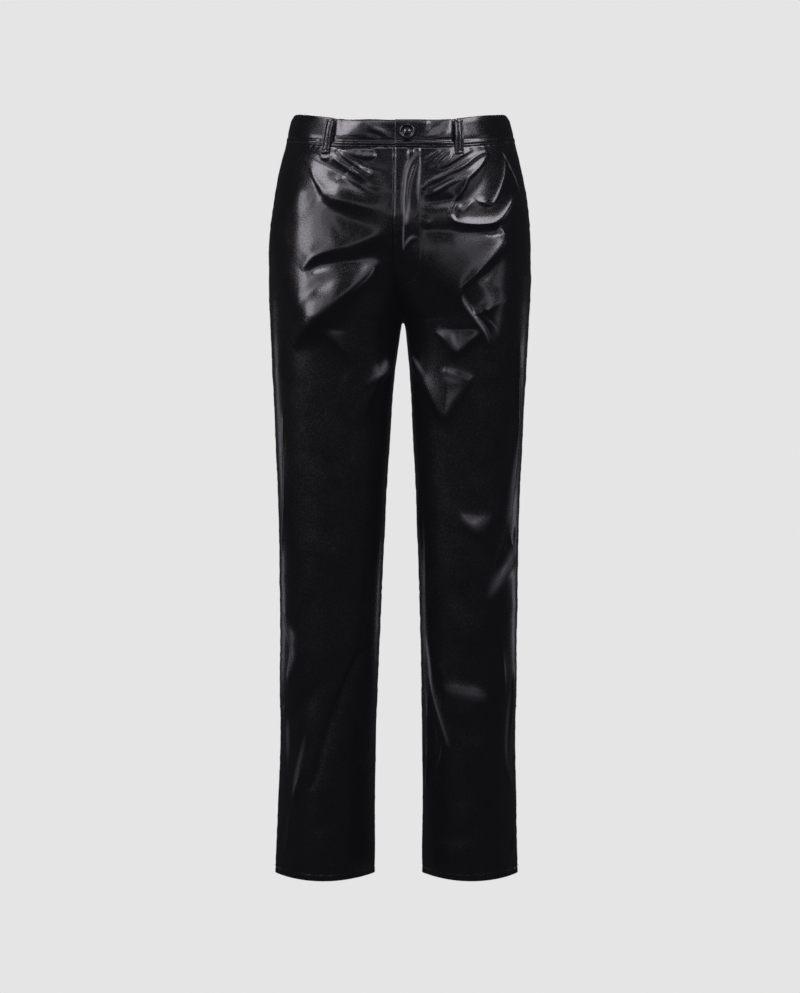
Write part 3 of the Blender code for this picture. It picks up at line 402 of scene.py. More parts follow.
# Painted highlights: pale colour painted along creases in front, where the lamps' reflections should shine.
# x, z, how pale and width to either side
PAINTED_HIGHLIGHTS = [
    ((31, -530, 0, 1.4), (34, -598, 0.07, 1.5), (35.5, -650, 0.12, 1.6), (37, -693, 0.15, 1.7),
     (41, -737, 0.15, 1.9), (45.5, -770, 0.13, 2.1), (55, -804, 0.1, 2.4), (63, -832, 0.04, 2.6),
     (67, -842, 0, 2)),
    ((32.5, -740, 0, 1.3), (36, -790, 0.09, 1.4), (38, -830, 0.11, 1.5), (37.6, -862, 0.11, 1.5),
     (35, -895, 0.05, 1.4), (34, -908, 0, 1.2)),
    ((161, -410, 0, 2), (156, -452, 0.08, 3.4), (151, -498, 0.09, 4), (147, -538, 0.06, 4),
     (145, -562, 0, 2)),
    ((158, -548, 0, 4), (153, -574, 0.06, 6), (145, -598, 0.07, 7), (131, -620, 0.055, 7),
     (118, -642, 0, 5)),
    ((152, -752, 0, 2), (147, -800, 0.045, 3), (144, -848, 0.045, 3), (147, -890, 0, 2)),
    ((-154, -420, 0, 2), (-157, -488, 0.045, 2.4), (-159, -545, 0.03, 2.4), (-160, -570, 0, 2)),
    ((-155, -672, 0, 2), (-147, -692, 0.06, 2.4), (-142.5, -716, 0.1, 2.6), (-146, -734, 0.07, 2.6),
     (-151, -752, 0, 2)),
    ((-154, -800, 0, 2), (-152, -838, 0.05, 3), (-154, -878, 0, 2)),
    ((-127, -824, 0, 2.4), (-134, -854, 0.04, 3.4), (-141, -886, 0.055, 3.6), (-145, -912, 0, 3)),
    # round the fly
    ((24, -46, 0, 1.2), (17, -56, 0.1, 1.4), (11, -66, 0.14, 1.4), (8, -80, 0.16, 1.3), (6, -98, 0.16, 1.1),
     (5.2, -112, 0.13, 1), (5.4, -128, 0.14, 1.1), (5, -142, 0.1, 1), (4.6, -156, 0.12, 0.9),
     (4.8, -172, 0.14, 0.9), (5.4, -178, 0, 0.8)),
    ((26.4, -58, 0, 0.9), (26, -72, 0.16, 1.1), (25, -88, 0.16, 1.1), (24.6, -104, 0.08, 1),
     (24.8, -118, 0, 0.9)),
    ((12, -104, 0, 0.9), (11.6, -116, 0.08, 1.1), (10.4, -128, 0.14, 1.8), (8.4, -138, 0.16, 2.4),
     (7, -146, 0, 1.4)),
    ((5.4, -175, 0, 0.9), (8.6, -168, 0.1, 1.3), (12.6, -163, 0.1, 1.6), (18, -160.5, 0.06, 1.5),
     (24, -160, 0, 1.2)),
    # on the hips
    ((83, -236, 0, 1), (85, -245, 0.16, 1.2), (92, -256, 0.2, 1.3), (103, -271, 0.22, 1.3),
     (111, -282, 0.16, 1.2), (116, -292, 0.06, 1.1), (119, -301, 0, 1)),
    ((-34, -198, 0, 1), (-38, -205, 0.16, 1.2), (-44, -213, 0.1, 1.4), (-56, -224, 0.03, 1.6),
     (-66, -232, 0, 1.4)),
    ((133, -202, 0, 3), (134, -228, 0.03, 5), (132, -256, 0.04, 5.4), (129, -280, 0.03, 5),
     (125, -296, 0, 4)),
    # down the pocket's edge
    ((138.5, -41, 0, 1.2), (141.5, -47, 0.16, 1.3), (145.5, -54, 0.05, 1.2), (148.5, -59, 0.16, 1.3),
     (151.5, -65, 0.08, 1.2), (156, -74, 0.12, 1.2), (160, -84, 0.05, 1.2), (163, -94, 0, 1.2)),
    # on the thighs
    ((-19, -319, 0, 2), (-24, -327, 0.12, 3), (-29, -335, 0.1, 3.2), (-38, -345, 0.03, 3),
     (-46, -352, 0, 2)),
    ((15, -311, 0, 1.5), (20, -318, 0.1, 1.8), (26, -326, 0.14, 2.2), (32, -335, 0.08, 2),
     (38, -344, 0, 1.6)),
    ((56, -341, 0, 3), (65, -347, 0.07, 4), (76, -350, 0.05, 4), (86, -352, 0, 3)),
    ((69, -283, 0, 2.4), (71, -291, 0.08, 3.2), (74, -299, 0.08, 3.4), (79, -308, 0, 2)),
    # at the knee and over the shin
    ((80, -528, 0, 2.4), (90, -535, 0.06, 4), (103, -541, 0.06, 6), (115, -536, 0.03, 5), (124, -530, 0, 3)),
    ((56, -760, 0, 3), (68, -764, 0.03, 5), (88, -768, 0.05, 6), (104, -772, 0.06, 5), (120, -776, 0, 3)),
]

# The waistband's own folds
FRONT_BAND_FOLDS = [
    # wearer's right
    (0, 0.5, (-48, -12, 0, 4), (-40, -15, 1.2, 4), (-24, -21, 1.4, 4.5), (-10, -27, 0, 4)),
    (0, 0.8, (-44, -21, 0, 4), (-30, -25, -1.0, 4), (-12, -31, 0, 4)),
    (0, 0.8, (-75, 12, -1.6, 10), (-74, -4, -1.8, 10), (-74, -26, 0, 8)),
    (0.2, 0.6, (-42, 8, 0, 18), (-44, -4, 2.6, 22), (-46, -14, 3.0, 22), (-48, -24, 1.6, 18),
     (-50, -30, 0, 12)),
    (0, 0.8, (-82, 8, 0, 22), (-96, 9, 1.4, 32), (-114, 11, 2.0, 34), (-138, 14, 0, 30)),
    (0, 0.8, (-87, 4, -1.6, 3), (-88.5, -12, -1.8, 3), (-91, -32, -1.6, 3)),
    # wearer's left
    (0, 0.5, (36, 0, 0, 3), (35, -8, 1.1, 3), (34, -15, 1.2, 3.5), (29, -22, 0, 3)),
    (0, 0.8, (70, 2, 0, 5), (54, -7, -1.2, 6), (40, -16, -1.4, 6), (26, -27, 0, 5)),
    (0, 0.7, (74, -14, 0, 7), (60, -22, 1.6, 9), (42, -30, 1.8, 8), (24, -36, 0, 6)),
    (0, 0.8, (70, 14, 0, 18), (86, 17, 2.6, 24), (106, 22, 4.2, 26), (130, 27, 0, 22)),
    (0, 0.8, (72, 4, -1.6, 3), (72.4, -12, -1.8, 3), (73, -32, -1.6, 3)),
]
BACK_BAND_FOLDS = [
    # wearer's left
    (0, 0.6, (20, -2, 0, 5), (44, 4, 1.2, 6), (70, 3, 0, 5)),
    (0, 0.8, (40, -10, 0, 5), (66, -8, -1.0, 6), (90, -12, 0, 5)),
    # wearer's right
    (0, 0.6, (-30, -6, 0, 5), (-52, 2, 1.2, 6), (-80, 4, 0, 5)),
    (0, 0.8, (-24, 8, 0, 5), (-48, 11, -1.0, 6), (-72, 10, 0, 5)),
]
BAND_FOLDS = {"front": FRONT_BAND_FOLDS, "back": BACK_BAND_FOLDS}

# The fly's stitching, down its front and round to the centre seam: x and z
FLY_STITCH = [
    (26.6, -38), (26.6, -100), (26.6, -160), (26.4, -192), (23.5, -206), (16.5, -216), (6, -222), (-2, -224)
]

# Button
BUTTON_X = 9.5
BUTTON_Z = -20.5
BUTTON_SHANK = 0.5
BUTTON_TILT_REACH = 10  # how far up the band its slope is taken
# its radius and its height over its back, from the middle of its face round its rim
BUTTON_PROFILE = [
    (0, 3.1), (1.4, 3.05), (2.6, 2.75), (3.6, 2.2), (4.6, 1.8), (5.8, 1.7), (6.6, 1.9), (7.2, 2.6),
    (7.8, 3.5), (8.4, 4.05), (9.0, 4.2), (9.7, 4.0), (10.2, 3.4), (10.5, 2.6), (10.5, 1.6), (10.1, 0.8),
    (9.4, 0.3), (8.4, 0), (4.0, 0), (0, 0),
]

# Belt loops
LOOP_WIDTH = 11.5
LOOP_BELOW_TOP = 3
LOOP_BELOW_SEAM = 12
LOOP_STAND_OFF = 3.2
LOOP_STITCH_ROOM = 0.7  # the rolled edge beside a loop's stitching
LOOPS = [
    # name, face, top_x, foot_x
    ("belt_loop_front_left", "front", 78, 79),
    ("belt_loop_front_right", "front", -93, -99),
    ("belt_loop_back_left", "back", 96, 99),
    ("belt_loop_back_centre", "back", 0, 0),
    ("belt_loop_back_right", "back", -96, -99),
]


# ---------------------------------------------------------------- form

RISE_STEPS = 800
CENTRE_CORNER = 1.5  # how much squarer the inner corner is at the centre seams than at the inseam
MITRE_LIMIT = 0.2


def side_name(hand):
    return "left" if hand > 0 else "right"


def unit(vectors):
    return vectors / np.maximum(np.linalg.norm(vectors, axis=-1, keepdims=True), 1e-9)


def running(steps):
    """The sum of the steps so far, from 0."""
    sums = np.cumsum(steps, axis=-1)
    return np.concatenate([0 * sums[..., :1], sums], axis=-1)


def smooth_columns(names, rows):
    """Reads each column of a table at any place in its first one, along a curve through the rows."""
    names = names.split()
    values = np.array(sorted(rows), float)
    places = values[:, 0]
    slopes = np.gradient(values, places, axis=0)

    def read(at):
        at = np.clip(at, places[0], places[-1])
        row = np.clip(np.searchsorted(places, at) - 1, 0, len(places) - 2)
        span = (places[row + 1] - places[row])[..., None]
        t = (at[..., None] - places[row][..., None]) / span
        found = (
            (1 + 2 * t) * (1 - t) ** 2 * values[row]
            + t * (1 - t) ** 2 * span * slopes[row]
            + t**2 * (3 - 2 * t) * values[row + 1]
            - t**2 * (1 - t) * span * slopes[row + 1]
        )
        return {name: found[..., i] for i, name in enumerate(names)}

    return read


section_at = smooth_columns(SECTION_COLUMNS, SECTIONS)
centre_at = smooth_columns(CENTRE_COLUMNS, CENTRES)
inseam_at = smooth_columns(INSEAM_COLUMNS, [(depth**0.5, *rest) for depth, *rest in INSEAMS])


def ramp(value, start, end):
    """0 at start, 1 at end, and smooth between them."""
    t = np.clip((value - start) / (end - start), 0, 1)
    return t * t * (3 - 2 * t)


def eased_root(value, ease):
    """The square root of a value, or 0 below 0. ease rounds the corner between them."""
    return np.sqrt((value + np.sqrt(value**2 + ease**2)) / 2)


def rise_share(face, z, ease):
    """The centre seam's depth at z, as a share of the crease's: 1 down to the bend, 0 at the crotch."""
    bend = BEND_Z[face]
    fall = np.maximum((bend - z) / (bend - CROTCH_Z), 0)
    return eased_root(1 - fall**2, ease) / eased_root(1, ease)


def outline(hand, face, z, ease=0.0):
    """What a quarter of the section needs: its side seam, its crease and its inner end. ease carries the
    crotch's curve smoothly from the rise into the leg."""
    section = section_at(z)
    inseam = inseam_at(eased_root(CROTCH_Z - z, ease * CROTCH_EASE_DEPTH))
    side = side_name(hand)
    share = rise_share(face, z, ease)
    depth = section[face + "_y"]
    return {
        "side_x": section[side + "_x"],
        "crease_x": section[side + "_crease_x"],
        "end_x": centre_at(z)[face] + inseam[side + "_x"] - INSEAMS[0][1],
        "depth": depth,
        "end_y": depth * share,
        "mid_y": section["mid_y"],
        "corner": section["corner"],
        "inner_corner": inseam["corner"] + CENTRE_CORNER * share**4,
    }


def outer_share(line):
    """The outer quarter's share of the way round, from its rough length against the inner quarter's."""
    outer = np.hypot(line["side_x"] - line["crease_x"], line["depth"])
    inner = np.hypot(line["crease_x"] - line["end_x"], line["depth"] - line["end_y"])
    return outer / (outer + inner)


def cloth_point(hand, face, z, u):
    """A point of the garment's outer face. u runs from 0 at the side seam to 1 at the centre or inseam."""
    line = outline(hand, face, z)
    split = outer_share(line)
    outer = u < split
    turn = np.where(outer, 1 - u / split, (u - split) / (1 - split))
    reach = np.sin(turn * np.pi / 2)
    line = outline(hand, face, z, CROTCH_EASE * np.where(outer, 0, 1 - reach))
    far_x = np.where(outer, line["side_x"], line["end_x"])
    far_y = np.where(outer, 0, line["end_y"])
    power = np.where(outer, line["corner"], line["inner_corner"])
    x = line["crease_x"] + (far_x - line["crease_x"]) * reach
    y = far_y + (line["depth"] - far_y) * np.maximum(1 - reach**2, 0) ** power
    return np.stack([x, line["mid_y"] + (y if face == "back" else -y), z + 0 * x], axis=-1)


def edge_z(edge, hand, face, u):
    """The height at u of the waist seam or of the band's top edge."""
    split = outer_share(outline(hand, face, edge["side"] + 0 * u))
    dip = np.cos(np.clip(1 - u / split, 0, 1) * np.pi / 2) ** edge["power"]
    return edge["side"] + (edge[face] - edge["side"]) * dip, dip


def outward_normals(points, hand, face):
    """Unit normals of a grid whose rows run down the garment and whose columns run in from the side."""
    down = np.gradient(points, axis=0)
    inward = np.gradient(points, axis=1)
    return unit(np.cross(inward, down)) * hand * (1 if face == "front" else -1)


def rise_heights(hand, face, cells):
    """Heights down the centre seam at even steps along its curve, from the waist seam to the crotch."""
    z = CROTCH_Z + (WAIST_SEAM[face] - CROTCH_Z) * (1 - np.linspace(0, 1, RISE_STEPS)) ** 2
    line = outline(hand, face, z)
    along = running(np.hypot(np.diff(z), np.diff(line["end_y"])))
    return np.interp(np.linspace(0, along[-1], cells + 1), along, z)


def panel_heights(hand, face):
    """Heights of a panel's rows at its side seam and at its inner edge."""
    side = np.linspace(WAIST_SEAM["side"], CROTCH_Z, RISE_ROWS + 1)
    leg = HEM_Z - CROTCH_Z
    close = 1 - HEM_BAND / -leg
    down_leg = np.concatenate(
        [np.linspace(0, close, LEG_ROWS + 1)[1:], np.linspace(close, 1, HEM_ROWS + 1)[1:]]
    )
    side = np.concatenate([side, CROTCH_Z + leg * down_leg])
    crowded = np.minimum(down_leg**ROW_CROWDING, down_leg)
    blend = ramp(down_leg, 0.0, close)
    inner_leg = CROTCH_Z + leg * (crowded * (1 - blend) + down_leg * blend)
    return side, np.concatenate([rise_heights(hand, face, RISE_ROWS), inner_leg])


def pocket_start(hand, z):
    """u of the slant pocket's opening, or of the side seam below it."""
    fall = np.clip((WAIST_SEAM["side"] - z) / (WAIST_SEAM["side"] - POCKET_END_Z), 0, 1)
    angle = POCKET_TOP_ANGLE + (90 - POCKET_TOP_ANGLE) * fall**POCKET_BOW
    return outer_share(outline(hand, "front", z)) * (1 - angle / 90)


def row_heights(hand, face, u, side_z, inner_z):
    return side_z[:, None] + (inner_z - side_z)[:, None] * edge_z(WAIST_SEAM, hand, face, u)[1]


def panel_grid(hand, face):
    """u and the height of each point of a leg panel, in rows from the waist seam to the hem."""
    side_z, inner_z = panel_heights(hand, face)
    start = pocket_start(hand, side_z) if face == "front" else 0 * side_z
    t = np.linspace(0, 1, PANEL_COLUMNS[face] + 1)
    if face == "front":
        t = t * (1 + FRONT_CROWDING * (1 - t))
    u = start[:, None] + (1 - start[:, None]) * t
    return u, row_heights(hand, face, u, side_z, inner_z)


def mitred(offsets, normals, plane_axis, keep_sign):
    """Wall offsets at a seam, turned into the seam's plane where they would cross it."""
    crossing = np.sign(offsets[..., plane_axis]) == keep_sign
    flat = offsets.copy()
    flat[..., plane_axis] = 0
    length = np.sum(flat * -normals, axis=-1, keepdims=True)
    wanted = np.sum(offsets * -normals, axis=-1, keepdims=True)
    turned = flat * wanted / np.maximum(length, MITRE_LIMIT * wanted)
    return np.where(crossing[..., None], turned, offsets)


# ---------------------------------------------------------------- meshes

SHARP_ANGLE = 50


def add_object(name, data):
    made = bpy.data.objects.new(name, data)
    bpy.context.scene.collection.objects.link(made)
    return made


def smooth_mesh(name, points, faces):
    """A mesh from points in millimetres."""
    data = bpy.data.meshes.new(name)
    data.from_pydata((points / METRE).tolist(), [], faces)
    data.shade_smooth()
    return data


def quads(grid, outward):
    """The faces of a grid of point numbers."""
    corners = [grid[:-1, :-1], grid[1:, :-1], grid[1:, 1:], grid[:-1, 1:]]
    if not outward:
        corners = [corners[0], *corners[:0:-1]]
    return np.stack(corners, -1).reshape(-1, 4).tolist()


def rim(grid):
    """The point numbers along the four edges of a grid, on one way round."""
    return [grid[0, :], grid[:, -1], grid[-1, ::-1], grid[::-1, 0]]


def wall_data(name, outer, inner, inner_every=1):
    """A closed wall between two grids. The inner grid may have every second point each way. Faces point out
    when the rows run down and the columns run to the right, as seen from outside."""
    over, under = (np.arange(grid[..., 0].size).reshape(grid.shape[:2]) for grid in (outer, inner))
    under = under + over.size
    outside, inside = quads(over, True), quads(under, False)
    faces = [*outside, *inside]
    for top, bottom in zip(rim(over), rim(under)):
        for i in range(len(bottom) - 1):
            edge = top[i * inner_every : (i + 1) * inner_every + 1]
            faces.append([*edge.tolist(), int(bottom[i + 1]), int(bottom[i])])
    data = smooth_mesh(name, np.concatenate([outer.reshape(-1, 3), inner.reshape(-1, 3)]), faces)
    index = np.zeros(len(faces), np.int32)
    index[len(outside) : len(outside) + len(inside)] = 1
    data.polygons.foreach_set("material_index", index)
    data.update()
    data.set_sharp_from_angle(angle=np.radians(SHARP_ANGLE))
    return data


def add_piece(name, data, materials, replaces=()):
    piece = add_object(name, data)
    for material in materials:
        data.materials.append(material)
    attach(piece, "root")
    if replaces:
        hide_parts(*replaces)
    return piece


def add_wall(name, outer, inner, flip, materials, replaced, inner_every=1):
    """flip turns the columns round where they run to the left, as seen from outside."""
    if flip:
        outer, inner = outer[:, ::-1], inner[:, ::-1]
    piece = add_piece(name, wall_data(name, outer, inner, inner_every), materials, [replaced])
    return piece


# ---------------------------------------------------------------- folds

ROUND_HEIGHTS = 262
ROUND_COLUMNS = 241
CROTCH_HEIGHTS = 81
CROTCH_REACH = 60  # how far from the crotch its closer heights go
PATH_STEPS = 6
FOLD_REACH = 4  # of its width, beyond which a fold is flat
LEAST_WIDTH = 0.5
LATTICE_SIZE = (160, 1024)
LATTICE_MIDDLE = (64, 512)


class Round:
    """The way round one quarter of the garment from its side seam, at any height and u. A share is u with
    the crease moved to one half, so that the outer and the inner quarter each take half."""

    def __init__(self, hand, face):
        self.hand, self.face = hand, face
        near_crotch = CROTCH_Z + np.linspace(-1, 1, CROTCH_HEIGHTS) ** 3 * CROTCH_REACH
        self.heights = np.unique(
            np.concatenate([np.linspace(HEM_Z - 1, WAIST_TOP["back"] + 1, ROUND_HEIGHTS), near_crotch])
        )
        self.shares = np.linspace(0, 1, ROUND_COLUMNS)
        z = self.heights[:, None] + 0 * self.shares
        split = outer_share(outline(hand, face, z))
        v = self.shares + 0 * z
        u = np.where(v < 0.5, 2 * v * split, split + (2 * v - 1) * (1 - split))
        self.points = cloth_point(hand, face, z, u)
        self.along = running(np.linalg.norm(np.diff(self.points[..., :2], axis=1), axis=-1))

    def way(self, z, u):
        """Millimetres from the side seam."""
        split = outer_share(outline(self.hand, self.face, z))
        v = np.where(u < split, 0.5 * u / split, 0.5 + 0.5 * (u - split) / (1 - split))
        i = np.clip(np.searchsorted(self.heights, z) - 1, 0, len(self.heights) - 2)
        a = np.clip((z - self.heights[i]) / (self.heights[i + 1] - self.heights[i]), 0, 1)
        column = np.clip(v * (len(self.shares) - 1), 0, len(self.shares) - 1.001)
        j = column.astype(int)
        b = column - j
        upper, lower = (self.along[row, j] * (1 - b) + self.along[row, j + 1] * b for row in (i, i + 1))
        return upper * (1 - a) + lower * a

    def signed(self, way):
        """The way round as a place that grows to the viewer's right, as seen from the front."""
        return way * self.hand * (-1 if self.face == "front" else 1)

    def place_at_x(self, x, z):
        row = int(np.argmin(np.abs(self.heights - z)))
        xs = self.points[row, ::-1, 0] * self.hand
        return float(self.signed(np.interp(x * self.hand, xs, self.along[row, ::-1])))

    def path(self, points, steps=PATH_STEPS):
        """A curve through points given as x, z and more, as rows of place, z and the rest."""
        return curve_through([(self.place_at_x(x, z), z, *rest) for x, z, *rest in points], steps)

    def u_at(self, place, z):
        """u at places along the way, one by one."""
        found = []
        for one_place, one_z in zip(place, z):
            row = int(np.argmin(np.abs(self.heights - one_z)))
            v = np.interp(abs(one_place), self.along[row], self.shares)
            split = outer_share(outline(self.hand, self.face, np.array(float(one_z))))
            found.append(2 * v * split if v < 0.5 else split + (2 * v - 1) * (1 - split))
        return np.array(found)


ROUNDS = {(hand, face): Round(hand, face) for hand in (1, -1) for face in ("front", "back")}


def curve_through(points, steps):
    """A Catmull-Rom curve through rows of numbers."""
    points = np.array(points, float)
    padded = np.concatenate([[2 * points[0] - points[1]], points, [2 * points[-1] - points[-2]]])
    t = np.linspace(0, 1, steps, endpoint=False)[:, None]
    spans = []
    for p0, p1, p2, p3 in zip(padded, padded[1:], padded[2:], padded[3:]):
        square, cube = 2 * p0 - 5 * p1 + 4 * p2 - p3, 3 * p1 - p0 - 3 * p2 + p3
        spans.append(0.5 * (2 * p1 + (p2 - p0) * t + square * t**2 + cube * t**3))
    return np.concatenate([*spans, points[-1:]])


def fold_relief(s, z, path, lean, crest):
    """The height of one fold. Each row of the path is s, z, height, width."""
    relief = np.zeros_like(s)
    reach = FOLD_REACH * path[:, 3].max() * (1 + abs(lean))
    near = np.full(s.shape, True)
    for values, places in ((s, path[:, 0]), (z, path[:, 1])):
        near &= (values > places.min() - reach) & (values < places.max() + reach)
    if not near.any():
        return relief
    at = np.stack([s[near], z[near]], axis=-1)
    best = np.full(len(at), np.inf)
    found = np.zeros((len(at), 3))
    for start, end in zip(path, path[1:]):
        along = end[:2] - start[:2]
        length = max(float(along @ along), 1e-6)
        off = at - start[:2]
        t = np.clip(off @ along / length, 0, 1)
        away = off - t[:, None] * along
        distance = np.hypot(away[:, 0], away[:, 1])
        side = np.sign(along[0] * away[:, 1] - along[1] * away[:, 0])
        closer = distance < best
        best = np.where(closer, distance, best)
        row = [side, start[2] + (end[2] - start[2]) * t, start[3] + (end[3] - start[3]) * t]
        found = np.where(closer[:, None], np.stack(row, axis=-1), found)
    width = np.maximum(found[:, 2], LEAST_WIDTH) * (1 + lean * found[:, 0])
    q = best / width
    relief[near] = found[:, 1] * np.exp(-(q**2) / (crest + q * (1 - crest)))
    return relief


def lattice(s, z, spacing_s, spacing_z, seed):
    """Smooth noise from -1 to 1 on a grid of seeded values."""
    random = np.random.default_rng(seed)
    a, b = s / spacing_s + LATTICE_MIDDLE[0], z / spacing_z + LATTICE_MIDDLE[1]
    values = random.uniform(-1, 1, LATTICE_SIZE)
    i, j = np.floor(a).astype(int) % (LATTICE_SIZE[0] - 1), np.floor(b).astype(int) % (LATTICE_SIZE[1] - 1)
    p, q = a - np.floor(a), b - np.floor(b)
    p, q = p * p * (3 - 2 * p), q * q * (3 - 2 * q)
    upper, lower = (values[i, row] * (1 - p) + values[i + 1, row] * p for row in (j, j + 1))
    return upper * (1 - q) + lower * q


# ---------------------------------------------------------------- materials

LEATHER_TINT = (0.0013, 0.0012, 0.0016)
LEATHER_ROUGHNESS = 0.21
PRESSED_ROUGHNESS = 0.2
PALER = 1.6  # the palest tint, as a multiple of the darkest
# Painted highlights along creases: their pale colour, the point attribute that carries them and how round
# their lines are
HIGHLIGHT_COLOUR = (0.97, 0.96, 1, 1)
HIGHLIGHT_ATTRIBUTE = "painted_highlight"
HIGHLIGHT_CREST = 0.8


def fill(tree, made, values):
    """Sets a node's sockets, by name or number, to values or to other nodes' outputs."""
    for socket, value in values.items():
        if isinstance(value, bpy.types.NodeSocket):
            tree.links.new(value, made.inputs[socket])
        else:
            made.inputs[socket].default_value = value


def node(tree, kind, values=None, **settings):
    made = tree.nodes.new("ShaderNode" + kind)
    for name, value in settings.items():
        setattr(made, name, value)
    fill(tree, made, values or {})
    return made


class Material:
    """A material in the making, on the object's own coordinates."""

    def __init__(self, name):
        self.made = bpy.data.materials.new(name)
        self.made.use_nodes = True
        self.tree = self.made.node_tree
        self.place = self.node("TexCoord").outputs["Object"]

    def node(self, kind, values=None, **settings):
        return node(self.tree, kind, values, **settings)

    def texture(self, kind, output, settings=None, **values):
        return self.node("Tex" + kind, {"Vector": self.place, **values}, **(settings or {})).outputs[output]

    def bump(self, height, strength, distance):
        values = {"Strength": strength, "Distance": distance, "Height": height}
        return self.node("Bump", values).outputs["Normal"]

    def spread(self, value, to, start=(0, 1)):
        """A value between the two of start, as one between the two of to."""
        values = dict(zip(("From Min", "From Max", "To Min", "To Max"), (*start, *to)))
        return self.node("MapRange", {**values, "Value": value}).outputs["Result"]

    def finish(self, values):
        fill(self.tree, self.tree.nodes["Principled BSDF"], values)
        return self.made


def leather(name, shine):
    """Black coated cloth: a fine pebble grain under a soft gloss, and pale painted highlights along creases.
    """
    made = Material(name)
    cells = made.texture("Voronoi", "Distance", {"feature": "SMOOTH_F1"}, Scale=650, Smoothness=0.6)
    fine = made.texture("Noise", "Fac", Scale=2200, Detail=2)
    broad = made.texture("Noise", "Fac", Scale=28, Detail=3)
    pebble = made.texture("Noise", "Fac", Scale=620, Detail=1)
    grain = made.node("Math", {0: cells, 1: -1.0, 2: fine}, operation="MULTIPLY_ADD")
    gloss = made.spread(broad, (shine - 0.04, shine + 0.05), (0.3, 0.7))
    speckle = made.spread(pebble, (0, 0.17), (0.48, 0.72))
    paler_tint = [PALER * channel for channel in LEATHER_TINT]
    tints = {6: (*LEATHER_TINT, 1), 7: (*paler_tint, 1), "Factor": broad}
    colour = made.node("Mix", tints, data_type="RGBA").outputs[2]
    # painted highlights: the panels' attribute mixes pale colour into the tint along creases
    worn = made.node("Attribute", attribute_name=HIGHLIGHT_ATTRIBUTE).outputs["Fac"]
    paler = made.node("Mix", {6: colour, 7: HIGHLIGHT_COLOUR, "Factor": worn}, data_type="RGBA")
    return made.finish({
        "Base Color": paler.outputs[2],
        "Roughness": made.node("Math", {0: gloss, 1: speckle}, operation="ADD").outputs[0],
        "Normal": made.bump(grain.outputs[0], 0.35, 0.00009),
        "IOR": 1.5,
        "Coat Weight": 0.25,
        "Coat Roughness": 0.14,
    })


def backing():
    """The knitted back of the coated cloth."""
    made = Material("knitted_backing")
    knit = made.texture("Voronoi", "Distance", Scale=1100)
    return made.finish({
        "Base Color": (0.02, 0.02, 0.023, 1), "Roughness": 0.9, "Normal": made.bump(knit, 0.6, 0.0003)
    })


def glossy_plastic():
    """Black plastic with a fine moulded mottle."""
    made = Material("button_plastic")
    mottle = made.texture("Noise", "Fac", Scale=600)
    return made.finish({
        "Base Color": (0.003, 0.003, 0.0035, 1), "Roughness": made.spread(mottle, (0.08, 0.16)), "IOR": 1.55
    })


def sewing_thread():
    """Black polyester thread with its twist as bump."""
    made = Material("sewing_thread")
    twist = made.texture("Wave", "Fac", Scale=900)
    return made.finish({
        "Base Color": (0.005, 0.005, 0.006, 1), "Roughness": 0.4, "Normal": made.bump(twist, 0.5, 0.0001)
    })


# ---------------------------------------------------------------- seams and panels

SEAM_SINK = 0.7  # how deep the cloth lies at a seam, and how far from it that goes
SEAM_ROLL = 2.6
WAIST_SINK = (0.9, 2.4)  # the same at the waist seam
UNDERLAP_SINK = (0.5, 3)  # where the right front runs under the fly
INNER_HOLD = 6  # folds die away within these of the inner edge, the waist seam and the hem
WAIST_HOLD = 5
HEM_HOLD = 40
CRUMPLE = (46, 70, 11, 0.5)  # spacings round and down, seed and height of the cloth's unevenness
FINE_CRUMPLE = (17, 29, 23, 0.12)
CRUMPLE_HOLD = 40
EDGE_ROLL = {"pocket": 1.2, "fly": 0.6, "hem": 1.0, "band_seam": 0.9, "band_top": 2.4, "band_end": 1.0,
             "loop": 0.8}
# depth and width
STITCH_GROOVE = {"pocket": (0.35, 0.9), "hem": (0.5, 1.1), "band": (0.35, 0.6), "loop": (0.45, 0.6),
                 "bar": (0.5, 0.9)}
POCKET_LIFT = 0.5
POCKET_LIFT_RAMP = (2, 12)
POCKET_FADE = 8
FLY_LIFT = 0.9
FLY_LIFT_FROM_X = 20
FLY_LIFT_FADE = 60
FLY_EDGE_FADE = 4
UNDERLAP_FADE = 40
FLY_GROOVE = (-0.6, 0.9)  # height and width
FLY_GROOVE_CREST = 0.8
PUCKERS = {
    # spacing, seed, height
    "inner": (7, 31, 0.5),
    "pocket": (6, 41, 0.5),
    "side": (7, 43, 0.5),
    "waist": (5, 53, 0.45),
    "hem": (6, 61, 0.35),
    "band": (5, 83, 0.4),
    "facing": (6, 91, 0.4),
}
PUCKER_REACH = 8
PUCKER_LEAN = 0.4
PUCKER_LEAN_SPACING = 60
BESIDE = 0.002  # a step in u, for normals


def fold_paths(table, hand):
    """Each fold of one half as a fine path of place, z, height, width, by the face that it is on."""
    paths = {"front": [], "back": []}
    for face, rows in table.items():
        for lean, crest, *points in rows:
            if np.sign(points[len(points) // 2][0]) == hand:
                paths[face].append((ROUNDS[hand, face].path(points), lean, crest))
    return paths


def rounded(distance, radius):
    """How far a surface falls near its edge, where it is rolled over with this radius."""
    inside = np.clip(radius - distance, 0, radius)
    return np.sqrt(np.maximum(radius**2 - inside**2, 0)) - radius


def groove(distance, width):
    """1 along a line, falling to 0 at this distance from it."""
    return np.exp(-((distance / width) ** 2))


def sunk(distance, depth, width):
    """The depth at a seam, falling to 0 at this distance from it."""
    return depth * (1 - ramp(distance, 0, width))


def puckers(along, distance, kind):
    """Little folds that run away from a seam."""
    spacing, seed, height = PUCKERS[kind]
    lean = lattice(along, 0 * along + seed, PUCKER_LEAN_SPACING, 1, seed) * PUCKER_LEAN
    ridges = lattice(along + lean * distance, 0 * along, spacing, 1, seed + 1)
    return ridges * ramp(distance, 0, 2) * np.exp(-distance / PUCKER_REACH) * height


def crumple(place, z, spacing_s, spacing_z, seed, height):
    return lattice(place, z, spacing_s, spacing_z, seed) * height


